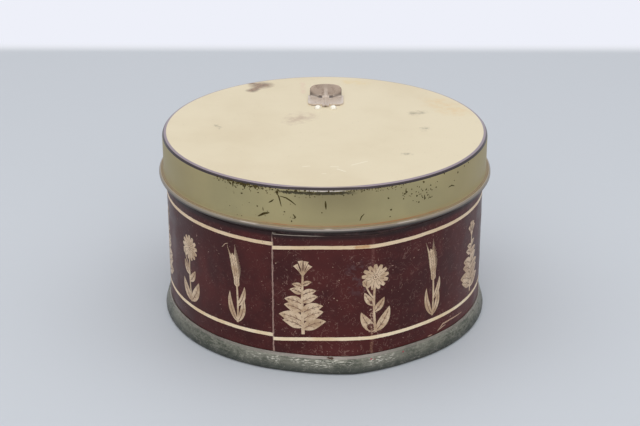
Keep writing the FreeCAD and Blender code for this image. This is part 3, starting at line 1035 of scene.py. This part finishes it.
# Cream enamel of the top, with its specks, stains, scratches and rust spot, and painted shade at the cutter.
stain = spread(tree, cloud(tree, place, 26.0, 4.0, 0.55), 0.35, 0.7)
cream_paint = blend(tree, stain, tone(226, 213, 183), tone(218, 203, 171))
speck = spread(tree, cloud(tree, place, 950.0, 3.0, 0.6), 0.66, 0.72, 0.0, 0.3)
cream_paint = blend(tree, speck, cream_paint, tone(186, 170, 138))
# Each stain: its strokes, how ragged, its grain, its strength and its colour.
LID_STAINS = (
    # orange stain by the rim
    ((((38.5, 24.5), (44.5, 15.5), 6.5),), 9.0, 0.22, 0.5, (222, 190, 134)),
    # yellow stain at the back
    ((((8.0, 46.5), (13.0, 45.5), 3.5),), 5.0, 0.3, 0.5, (224, 200, 142)),
    # pink line by the cutter
    ((((-7.6, 34.0), (-7.9, 46.0), 1.3),), 1.2, 0.5, 0.4, (220, 188, 166)),
    # smudge in front of the cutter
    ((((-9.8, 6.8), (-7.0, 10.2), 5.6),), 7.0, 0.25, 0.72, (186, 162, 138)),
    # dull spots
    ((((30.0, 13.0), (32.4, 14.1), 2.6), ((32.6, -3.2), (33.2, -1.2), 1.7),
      ((25.0, -24.9), (26.4, -24.6), 1.5), ((-35.8, 0.8), (-34.6, -1.2), 1.2)),
     4.0, 0.7, 0.62, (140, 128, 100)),
)
LID_LINES = (
    # pale scratches
    ((((-6.6, -35.7), (-4.6, -35.3), 0.4), ((2.0, -35.7), (4.2, -35.9), 0.4),
      ((4.0, -37.7), (6.4, -39.7), 0.45), ((8.5, -34.4), (13.2, -31.2), 0.4),
      ((-0.5, -41.6), (0.3, -41.6), 0.4)), 0.5, 1.5, 0.6, (244, 236, 216)),
    # painted shade under the cutter's slots, seen dark through them
    ((((-1.6, 27.7), (-1.6, 31.9), 1.5), ((2.1, 27.7), (2.1, 31.9), 1.5)), 0.2, 1.5, 0.9, (104, 74, 50)),
    # painted shade along the cutter's front edge, where it meets the lid
    ((((-4.4, 21.0), (-2.2, 20.85), 0.5), ((2.7, 20.85), (4.9, 21.0), 0.5)),
     0.2, 1.5, 0.8, (134, 114, 102)),
)
# The stains are patchy, the lines aren't.
patchy = spread(tree, cloud(tree, place, 420.0, 5.0, 0.68), 0.36, 0.62, 0.15, 1.0)
for lid_marks, thinned in ((LID_STAINS, patchy), (LID_LINES, None)):
    for strokes, ragged, grain, strength, colour in lid_marks:
        covered = marks(tree, on_tin["Flat"], strokes, ragged, grain)
        if thinned:
            covered = times(tree, covered, thinned)
        cream_paint = blend(tree, times(tree, covered, strength), cream_paint, tone(*colour))
rust_strokes = (
    ((-23.4, 42.2), (-21.8, 42.6), 4.4),
    ((-23.4, 40.6), (-25.8, 36.6), 2.4),
    ((-26.2, 44.4), (-23.4, 43.8), 1.6),
)
rust_spot = marks(tree, on_tin["Flat"], rust_strokes, 1.8, 0.6)
rust_grain = spread(tree, cloud(tree, place, 900.0, 4.0, 0.7), 0.4, 0.6)
rust_tone = blend(tree, rust_grain, tone(96, 66, 48), tone(146, 112, 84))
cream_paint = blend(tree, times(tree, rust_spot, 0.85), cream_paint, rust_tone)

# Olive-gold enamel of the skirt. Painted shade darkens the middle of the front under the rim and
# turns the sides a little darker and more yellow.
tint = spread(tree, cloud(tree, place, 45.0, 4.0, 0.6), 0.35, 0.65)
middle_shade = between(tree, on_tin["Angle"], -7.0, 15.0, 9.0)
middle_shade = times(tree, middle_shade, spread(tree, depth_down, 2.0, 11.0, 0.9, 0.3))
side_shade = spread(tree, off_front, 30.0, 58.0, 0.0, 0.6)
warm_foot = between(tree, above_bead, 1.8, 2.1, 0.14)
warm_foot = times(tree, warm_foot, between(tree, on_tin["Angle"], -20.0, 42.0, 5.0))
warm_patches = spread(tree, cloud(tree, place, 130.0, 4.0, 0.6), 0.35, 0.6, 0.45, 0.95)
warm_foot = times(tree, warm_foot, warm_patches)
warm_tint = between(tree, above_bead, 2.1, 2.9, 0.4)
warm_tint = times(tree, warm_tint, between(tree, on_tin["Angle"], -30.0, 50.0, 9.0))
worn_grain = cloud(tree, place, 1500.0, 4.0, 0.7)
worn_at = sum_up(tree, "MULTIPLY_ADD", worn_grain, 2.0, sum_up(tree, "SUBTRACT", depth_down, 1.0))
worn_line = between(tree, worn_at, 1.25, 2.1, 0.08)
worn_line = times(tree, worn_line, between(tree, on_tin["Angle"], -15.0, 9.0, 2.5))
gold_paint = coats(
    tree,
    blend(tree, tint, tone(170, 158, 114), tone(158, 148, 107)),
    (middle_shade, (138, 127, 89)),
    (side_shade, (156, 140, 94)),
    (times(tree, warm_tint, 0.2), (176, 146, 98)),
    (warm_foot, (164, 108, 58)),
    (between(tree, above_bead, 1.56, 1.80, 0.10), (138, 114, 78)),
    (worn_line, (58, 50, 20)),
)

# The rubbed rim, bare metal, in painted reflection: a lavender highlight, a dark line below it and a
# short glint in the middle.
rim_depth = sum_up(tree, "ADD", depth_down, spread(tree, off_front, 6.0, 15.0, 0.13, 0.0))
shine = spread(tree, off_front, 6.0, 15.0, 0.75, 1.0)
shine = times(tree, shine, spread(tree, on_tin["Radius"], RIM_SHINE_FROM, RIM_SHINE_FULL))
shine = times(tree, shine, spread(tree, rim_depth, 0.22, 0.28, 1.0, 0.0))
rim_dark_reflection = between(tree, rim_depth, 0.24, 0.90, 0.04)
glint = between(tree, depth_down, 0.84, 1.10, 0.06)
glint = times(tree, glint, spread(tree, off_front, 3.0, 9.0, 1.0, 0.0))
is_top = spread(tree, rim_depth, 0.26, 0.32, 1.0, 0.0)
surface = coats(
    tree,
    blend(tree, is_top, gold_paint, cream_paint),
    (shine, (148, 134, 142)),
    (rim_dark_reflection, (52, 42, 45)),
    (glint, (214, 204, 198)),
)

# The bare bead in painted light and shade: pale along its crown, darkening fast to brown where it
# turns under, with painted sheens and glints.
BEAD_LIGHT_AND_SHADE = (
    (1.60, 1.52, (172, 158, 140)),
    (1.52, 1.44, (122, 113, 101)),
    (1.10, 0.88, (84, 79, 75)),
    (0.66, 0.40, (50, 38, 34)),
)
side_sheen = between(tree, above_bead, 0.80, 1.50, 0.20)
side_sheen = times(tree, side_sheen, spread(tree, off_front, 22.0, 40.0, 0.0, 0.45))
front_sheen = between(tree, above_bead, 0.95, 1.38, 0.10)
front_sheen = times(tree, front_sheen, between(tree, on_tin["Angle"], -9.0, 14.0, 6.0))
bead_glints = between(tree, above_bead, 1.34, 1.56, 0.06)
glint_places = between(tree, on_tin["Angle"], -28.0, -22.0, 1.0)
for first, last in ((0.2, 2.4), (24.0, 31.0)):
    glint_places = either(tree, glint_places, between(tree, on_tin["Angle"], first, last, 0.8))
bead_glints = times(tree, bead_glints, times(tree, glint_places, 0.6))
surface = coats(
    tree,
    surface,
    *[(spread(tree, above_bead, low, high, 1.0, 0.0), colour) for high, low, colour in BEAD_LIGHT_AND_SHADE],
    (side_sheen, (160, 150, 134)),
    (times(tree, front_sheen, 0.8), (144, 135, 127)),
    (bead_glints, (204, 194, 184)),
)
bare = either(tree, either(tree, shine, rim_dark_reflection), spread(tree, above_bead, 1.3, 1.6, 1.0, 0.0))
feed(
    tree,
    shader,
    Base_Color=surface,
    Metallic=times(tree, bare, 0.4),
    Roughness=spread(tree, bare, 0.0, 1.0, 0.46, 0.36),
    Normal=relief(tree, cloud(tree, place, 210.0, 4.0, 0.6), 0.00005, 0.4),
)
lid_cap.data.materials.append(enamel)

# ---- Scars on the skirt
# Knocks through the olive-gold enamel, dark with age: one star-shaped strike left of the front,
# single dots and strokes, a cluster of specks on the right and wear close under the rim.

SKIRT_PROUD = 0.03
RIM_LINE = 0.8
RIM_WEAR_END = 4.0
CLUSTER_SPECKS = 48
LEFT_SPECKS = 16


def on_skirt(angle, height):
    """A point just proud of the skirt, which rounds in to the lid's top over the shoulder."""
    into_shoulder = max(0.0, height - (LID_TOP - SHOULDER))
    radius = SKIRT - SHOULDER + math.sqrt(max(0.0, SHOULDER ** 2 - into_shoulder ** 2))
    return around(radius + lid_push(angle, radius, height) + SKIRT_PROUD, angle, height)


knocks = Print("skirt_scars", on_skirt, 0.0)
STROKES = (
    (((-20.3, 54.9), (-20.1, 53.7)), 0.28),
    (((-22.0, 51.7), (-19.9, 52.9), (-18.0, 53.4)), 0.75),
    (((-16.5, 57.9), (-17.3, 57.2), (-18.2, 56.7)), 0.42),
    (((-15.3, 60.0), (-14.7, 58.9), (-13.9, 55.9)), 0.42),
    (((-14.3, 59.2), (-12.3, 58.8), (-10.7, 57.9), (-9.1, 56.7)), 0.45),
    (((-10.1, 53.7), (-9.3, 52.7), (-9.8, 52.2)), 0.42),
    (((0.4, 58.3), (0.5, 57.0), (0.6, 55.6)), 0.55),
    (((13.1, 53.6), (12.1, 52.7), (11.6, 51.4)), 0.34),
    (((45.8, 56.2), (47.5, 56.4), (49.0, 55.8)), 0.4),
    (((27.5, 60.0), (27.5, 58.0)), 0.34),
    (((34.9, 56.5), (34.9, 54.7)), 0.34),
)
for places, width in STROKES:
    scratch(knocks, places, width)
DOTS = (
    (-27.9, 58.2), (-21.7, 59.5), (-22.2, 55.0), (-19.0, 49.9), (-12.9, 54.2), (-10.6, 51.4), (-0.7, 54.5),
    (22.2, 53.9), (21.9, 51.7), (50.7, 59.8), (48.9, 57.6), (54.6, 60.8), (57.3, 61.1), (43.5, 61.4),
)
dice = random.Random(23)
for angle, height in DOTS:
    fleck(knocks, angle, height, dice.uniform(0.2, 0.36), dice)
fleck(knocks, -15.3, 60.4, 0.55, dice)
# Wear under the rim is thick at the rim's dark line and thins out below it. How many specks, the
# middle and spread of their angles, how deep they reach on average and the largest radius.
RIM_WEAR = ((230, -26.5, 5.2, 0.55, 0.30), (90, 17.0, 6.5, 0.35, 0.20), (90, -3.0, 6.5, 0.75, 0.28))
for count, middle, sway, deep, largest in RIM_WEAR:
    for k in range(count):
        height = LID_TOP - RIM_LINE - dice.expovariate(1 / deep)
        if height > LID_TOP - RIM_WEAR_END:
            fleck(knocks, dice.gauss(middle, sway), height, dice.uniform(0.3, 1.0) * largest, dice)
for k in range(CLUSTER_SPECKS):
    fleck(knocks, dice.gauss(33.5, 4.2), dice.uniform(54.5, 61.0), dice.uniform(0.12, 0.36), dice)
for k in range(LEFT_SPECKS):
    fleck(knocks, dice.uniform(-34.0, -8.0), dice.uniform(50.5, 59.0), dice.uniform(0.08, 0.2), dice)

dark_tones = ((58, 47, 14), (80, 68, 30))
dark_metal = mottled("dark_metal", (1800.0, 4.0, 0.7), (0.38, 0.64), dark_tones, (0.55, 0.7), 0.00004)
dark_metal.node_tree.nodes["Principled BSDF"].inputs["Specular IOR Level"].default_value = 0.2
knocks.settle(dark_metal)

# ---- Cutter
# The opener: a thin steel plate lying flat on the lid, folded up behind into a hooded thumb tab. A
# pressed rib runs down its middle to a short tongue at the front, and the fold is slotted on both
# sides of the rib. Dull warm grey with age.

cutter_low, cutter_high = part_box("cutter")
CUTTER_MIDDLE = (cutter_low.x + cutter_high.x) / 2 / MM
SIDE_ROOM = 0.03
PLATE_HALF = (cutter_high.x - cutter_low.x) / 2 / MM - SIDE_ROOM
TAB_HALF = 5.5
STEEL = 0.5
PLATE = 7.3
TONGUE = 1.7
TONGUE_HALF = 1.2
TAB = 5.1
TAB_TILT = 52.0
FOLD_Y = cutter_low.y / MM + TONGUE + PLATE
FOLD_RADIUS = 0.5
FOLD_CURVE = 2.2
FRONT_CORNER = 1.9
TAB_CORNER = 1.7
TAB_CROWN = 0.9
SLOT_INNER = 1.15
SLOT_OUTER = 2.55
SLOT_REACH = 0.9
RIB_HALF = 0.8
RIB_RISE = 0.4
RIB_END = 1.4
RIB_FADE = 1.2
CUP_START = 3.0
STEEL_ROOM = 0.02


def folded(t):
    """Where the sheet's lower face is at so many mm past the fold, as Y and Z, and its slope."""
    bend_length = FOLD_RADIUS * math.radians(TAB_TILT)
    start = -bend_length / 2
    if t <= start:
        return t, 0.0, 0.0
    turn = min(t - start, bend_length) / FOLD_RADIUS
    y = start + FOLD_RADIUS * math.sin(turn)
    z = FOLD_RADIUS * (1 - math.cos(turn))
    beyond = max(0.0, t - start - bend_length)
    return y + beyond * math.cos(turn), z + beyond * math.sin(turn), turn


def rounded(half, corner, into):
    """Half a width so many mm into an end whose corners are rounded."""
    return half - corner + math.sqrt(max(0.0, corner ** 2 - (corner - into) ** 2))


def half_width(t):
    """Half the steel's width at so many mm past the fold, with rounded corners front and top."""
    into_front = t + PLATE
    into_top = TAB - t
    if into_front < FRONT_CORNER:
        return rounded(PLATE_HALF, FRONT_CORNER, into_front)
    if t < 0:
        return PLATE_HALF
    if into_top < TAB_CORNER:
        return rounded(TAB_HALF, TAB_CORNER, into_top)
    return TAB_HALF


def spaced(start, end, step):
    count = max(1, round((end - start) / step))
    return [start + (end - start) * k / count for k in range(count)]


def cutter_place(x, t):
    """The upper face at a place across the sheet and past the fold: cupped tab, pressed rib."""
    share = abs(x) / PLATE_HALF
    y, z, turn = folded(t)
    rib = max(0.0, 1 - abs(x) / RIB_HALF) ** 0.6 * RIB_RISE
    rib *= held((TAB - RIB_END - t) / RIB_FADE)
    kept = held((t + CUP_START) / CUP_START) if t < 0 else 1.0 - t / TAB
    cup = FOLD_CURVE * share ** 2 * kept
    if t > 0:
        z -= TAB_CROWN * share ** 2 * t / TAB
    out = rib + STEEL
    z = LID_TOP + STEEL_ROOM + z + math.cos(turn) * out
    y = FOLD_Y + y + cup - math.sin(turn) * out
    return Vector((CUTTER_MIDDLE + x, y, min(z, cutter_high.z / MM - STEEL_ROOM))) * MM


def across(x, half):
    """A column's place where the steel is half wide: the slots stay put and the sides close in."""
    if abs(x) <= SLOT_OUTER:
        return x
    drawn_in = SLOT_OUTER + (abs(x) - SLOT_OUTER) * (half - SLOT_OUTER) / (PLATE_HALF - SLOT_OUTER)
    return math.copysign(drawn_in, x)


def folded_steel():
    """The plate, tab and tongue as one sheet of steel, slotted at the fold and rounded on its edges."""
    rows = (
        spaced(-PLATE - TONGUE, -PLATE, 0.3)
        + [-PLATE + FRONT_CORNER * (1 - math.cos(math.radians(15 * k))) for k in range(6)]
        + spaced(-PLATE + FRONT_CORNER, -SLOT_REACH, 0.4)
        + spaced(-SLOT_REACH, SLOT_REACH, 0.15)
        + spaced(SLOT_REACH, TAB - TAB_CORNER, 0.3)
        + [TAB - TAB_CORNER * (1 - math.sin(math.radians(10 * k))) for k in range(9)]
        + [TAB]
    )
    side = spaced(SLOT_OUTER, PLATE_HALF, 0.4) + [PLATE_HALF]
    middle = spaced(-SLOT_INNER, SLOT_INNER, 0.23) + [SLOT_INNER]
    slot_gap = spaced(SLOT_INNER, SLOT_OUTER, 0.45)[1:]
    columns = sorted([-x for x in side + slot_gap] + middle + slot_gap + side)
    steel = bmesh.new()
    grid = []
    for t in rows:
        half = max(half_width(t), SLOT_OUTER)
        grid.append([steel.verts.new(cutter_place(across(x, half), t)) for x in columns])
    for i, t in enumerate(rows[:-1]):
        for j, x in enumerate(columns[:-1]):
            centre = abs((x + columns[j + 1]) / 2)
            in_slot = SLOT_INNER < centre < SLOT_OUTER and -SLOT_REACH - 0.01 <= t < SLOT_REACH - 0.01
            off_tongue = t < -PLATE - 0.01 and centre > TONGUE_HALF
            if not (in_slot or off_tongue):
                steel.faces.new((grid[i][j], grid[i][j + 1], grid[i + 1][j + 1], grid[i + 1][j]))
    spare = [v for v in steel.verts if not v.link_faces]
    bmesh.ops.delete(steel, geom=spare, context="VERTS")
    bmesh.ops.remove_doubles(steel, verts=steel.verts, dist=0.00001)
    piece = stand("cutter_steel", steel)
    thick = piece.modifiers.new("thickness", "SOLIDIFY")
    thick.thickness = STEEL * MM
    thick.offset = -1.0
    edge = piece.modifiers.new("rounded edges", "BEVEL")
    edge.width = 0.1 * MM
    edge.segments = 2
    edge.limit_method = "ANGLE"
    edge.angle_limit = math.radians(50)
    return piece


cutter_steel = folded_steel()
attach(cutter_steel, "root")
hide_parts("cutter")

# The tab is coloured darker than the plate, painted shade for its tilt. Painted shadow lies in the
# fold, darkest at the two slots, and a painted highlight runs along the rib; the tongue is darker.
# The painted shade along the plate's front edge is on the lid.
steel_finish, tree, shader, place = finish("cutter_steel")
in_mm = scaled(tree, place, 1 / MM)
axes = put(tree, "ShaderNodeSeparateXYZ", {0: in_mm}).outputs
raised = spread(tree, axes[2], LID_TOP + 0.75, LID_TOP + 1.3)
dull = use(tree, tarnish, place=place, broad=400.0, fine=2600.0, cover=0.5)["Mask"]
plate_lit_tone = blend(tree, dull, tone(228, 214, 198), tone(208, 192, 176))
tab_shaded_tone = blend(tree, dull, tone(158, 140, 122), tone(134, 116, 98))
# Painted shadow in the fold, running out from each slot.
FOLD_SHADOW = ((2.5, 0.1, 4.2, 0.9), (4.2, 0.9, 5.6, 1.8))
flat_place = put(tree, "ShaderNodeCombineXYZ", {0: axes[0], 1: axes[1]}).outputs[0]
fold_shadow_strokes = [
    ((CUTTER_MIDDLE + side * first, FOLD_Y + low), (CUTTER_MIDDLE + side * last, FOLD_Y + high), 0.5)
    for side in (-1, 1)
    for first, low, last, high in FOLD_SHADOW
]
fold_shadow_mask = marks(tree, flat_place, fold_shadow_strokes, 0.15, 1.4)
off_middle = sum_up(tree, "ABSOLUTE", sum_up(tree, "SUBTRACT", axes[0], CUTTER_MIDDLE))
# Painted highlight along the rib, strongest low down.
rib_shine = spread(tree, off_middle, 0.2, RIB_HALF + 0.15, 1.0, 0.0)
rib_shine = times(tree, rib_shine, spread(tree, axes[2], LID_TOP + 1.3, LID_TOP + 3.6, 0.6, 0.1))
tongue_dark = spread(tree, axes[1], cutter_low.y / MM, cutter_low.y / MM + 0.9, 0.6, 0.15)
steel_tone = coats(
    tree,
    blend(tree, raised, plate_lit_tone, tab_shaded_tone),
    (rib_shine, (216, 202, 186)),
    (times(tree, fold_shadow_mask, 0.8), (96, 82, 66)),
    (tongue_dark, (160, 146, 142)),
)
grain = cloud(tree, place, 3000.0, 4.0, 0.6)
feed(
    tree,
    shader,
    Base_Color=steel_tone,
    Metallic=0.55,
    Roughness=spread(tree, dull, 0.0, 1.0, 0.36, 0.5),
    Normal=relief(tree, grain, 0.00003, 0.5),
)
cutter_steel.data.materials.append(steel_finish)

# ---- Studs
# Two round-headed steel studs riveted to the lid, one at each side of the cutter's tongue. Their
# heads are smooth, coloured near white as a painted highlight.

STUD_SIDES = 32
STUD_RINGS = 10
STUD_ROOM = 0.01
studs = []
for name in ("stud_left", "stud_right"):
    low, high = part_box(name)
    middle = (low + high) / 2 / MM
    head_radius = (high.x - low.x) / 2 / MM - STUD_ROOM
    head_height = (high.z - low.z) / MM - STUD_ROOM
    head = bmesh.new()
    rings = []
    for k in range(STUD_RINGS):
        rise = math.radians(90 / STUD_RINGS * k)
        ring_radius = head_radius * math.cos(rise) ** 0.9
        height = low.z / MM + head_height * math.sin(rise)
        places = ring_places(middle.x, middle.y, ring_radius, STUD_SIDES)
        rings.append([head.verts.new(Vector((x, y, height)) * MM) for x, y in places])
    crown = head.verts.new(Vector((middle.x, middle.y, low.z / MM + head_height)) * MM)
    for low_ring, high_ring in zip(rings, rings[1:]):
        for j in range(STUD_SIDES):
            ahead = (j + 1) % STUD_SIDES
            head.faces.new((low_ring[j], low_ring[ahead], high_ring[ahead], high_ring[j]))
    for j in range(STUD_SIDES):
        head.faces.new((rings[-1][j], rings[-1][(j + 1) % STUD_SIDES], crown))
    head.faces.new(rings[0][::-1])
    piece = stand(f"{name}_head", head, sharp=60)
    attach(piece, "root")
    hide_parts(name)
    studs.append(piece)

# Near white: a painted highlight.
stud_highlight_tones = ((254, 250, 238), (246, 240, 226))
stud_highlight_steel = mottled(
    "stud_steel", (2600.0, 3.0, 0.5), (0.4, 0.7), stud_highlight_tones, (0.22, 0.34), 0.00002, metallic=0.12
)
for piece in studs:
    piece.data.materials.append(stud_highlight_steel)

# ---- Table
# The tin stands on a plain pale grey-blue table. Some 23 cm behind it the table ends and a paler
# surface carries on at the same level, so nothing stands up behind the tin.

TABLE_BACK = 0.2855
TABLE_HALF = 3.0
FAR_TONE = (238, 240, 249)


def seen_rays(tree):
    """1 for what is looked at straight, in a reflection or through glass, 0 for plain lighting."""
    rays = put(tree, "ShaderNodeLightPath").outputs
    seen = either(tree, rays["Is Camera Ray"], rays["Is Glossy Ray"])
    return either(tree, seen, rays["Is Transmission Ray"])


table_mesh = bpy.data.meshes.new("table")
corners = [(x * TABLE_HALF, y * TABLE_HALF, 0.0) for x, y in ((-1, -1), (1, -1), (1, 1), (-1, 1))]
table_mesh.from_pydata(corners, [], [(0, 1, 2, 3)])
table = bpy.data.objects.new("table", table_mesh)
bpy.context.scene.collection.objects.link(table)
table_paint, tree, shader, place = finish("table_paint")
axes = put(tree, "ShaderNodeSeparateXYZ", {0: place}).outputs
toward_back = spread(tree, axes[1], -0.02, TABLE_BACK)
board = blend(tree, toward_back, tone(203, 208, 215), tone(200, 205, 212))
paler_share = spread(tree, axes[1], TABLE_BACK - 0.006, TABLE_BACK + 0.014)
board = blend(tree, paler_share, board, tone(236, 238, 240))
feed(tree, shader, Base_Color=board, Roughness=0.6)
glow = put(tree, "ShaderNodeEmission", {"Color": tone(*FAR_TONE), "Strength": 1.0}).outputs[0]
far_share = times(tree, seen_rays(tree), paler_share)
mixed = put(tree, "ShaderNodeMixShader", {0: far_share, 1: shader.outputs[0], 2: glow}).outputs[0]
tree.links.new(mixed, tree.nodes["Material Output"].inputs["Surface"])
table_mesh.materials.append(table_paint)

# ---- Light and camera
# Four broad soft lights, one overhead, one high at each side and one in front, in an even room.
# What is seen of the room, straight or in metal, is as pale as the far surface.

ROOM_LOW = (0.26, 0.26, 0.26, 1.0)
ROOM_HIGH = (0.64, 0.64, 0.64, 1.0)
scene = bpy.context.scene
scene.view_settings.view_transform = "Standard"
world = bpy.data.worlds.new("room")
scene.world = world
world.use_nodes = True
sky = world.node_tree
overhead_way = put(sky, "ShaderNodeTexCoord").outputs["Generated"]
up = put(sky, "ShaderNodeSeparateXYZ", {0: overhead_way}).outputs[2]
room = blend(sky, spread(sky, up, 0.0, 0.7), ROOM_LOW, ROOM_HIGH)
shown = blend(sky, seen_rays(sky), room, tone(*FAR_TONE))
sky.links.new(shown, sky.nodes["Background"].inputs["Color"])
sky.nodes["Background"].inputs["Strength"].default_value = 1.0

LIGHT_AIM = Vector((0.0, 0.0, 0.03))
# Name, width and depth in metres, power in watts, and place.
SOFT_LIGHTS = (
    ("overhead", 1.6, 1.2, 1.95, (0.0, 0.1, 1.1)),
    ("left", 0.6, 0.9, 1.5, (-0.55, 0.0, 1.0)),
    ("right", 0.6, 0.9, 1.25, (0.55, 0.0, 1.0)),
    ("front", 1.4, 0.7, 5.0, (0.0, -1.1, 0.75)),
)
for name, width, depth, power, light_place in SOFT_LIGHTS:
    lamp = bpy.data.lights.new(name, "AREA")
    lamp.shape = "RECTANGLE"
    lamp.size = width
    lamp.size_y = depth
    lamp.energy = power
    holder = bpy.data.objects.new(name, lamp)
    holder.location = light_place
    holder.rotation_euler = (LIGHT_AIM - Vector(light_place)).to_track_quat("-Z", "Y").to_euler()
    scene.collection.objects.link(holder)

LOOK_DOWN = 23.32
LEVEL_TILT = 0.006
FILM_WIDTH = 36.0
LENS_LENGTH = 86.1
CAMERA_PLACE = (0.001283, -0.47398, 0.23575)
lens = bpy.data.cameras.new("camera")
lens.sensor_width = FILM_WIDTH
lens.lens = LENS_LENGTH
lens.clip_start = 0.01
camera = bpy.data.objects.new("camera", lens)
camera.location = CAMERA_PLACE
camera.rotation_euler = (math.radians(90 - LOOK_DOWN), 0.0, LEVEL_TILT)
scene.collection.objects.link(camera)
scene.camera = camera
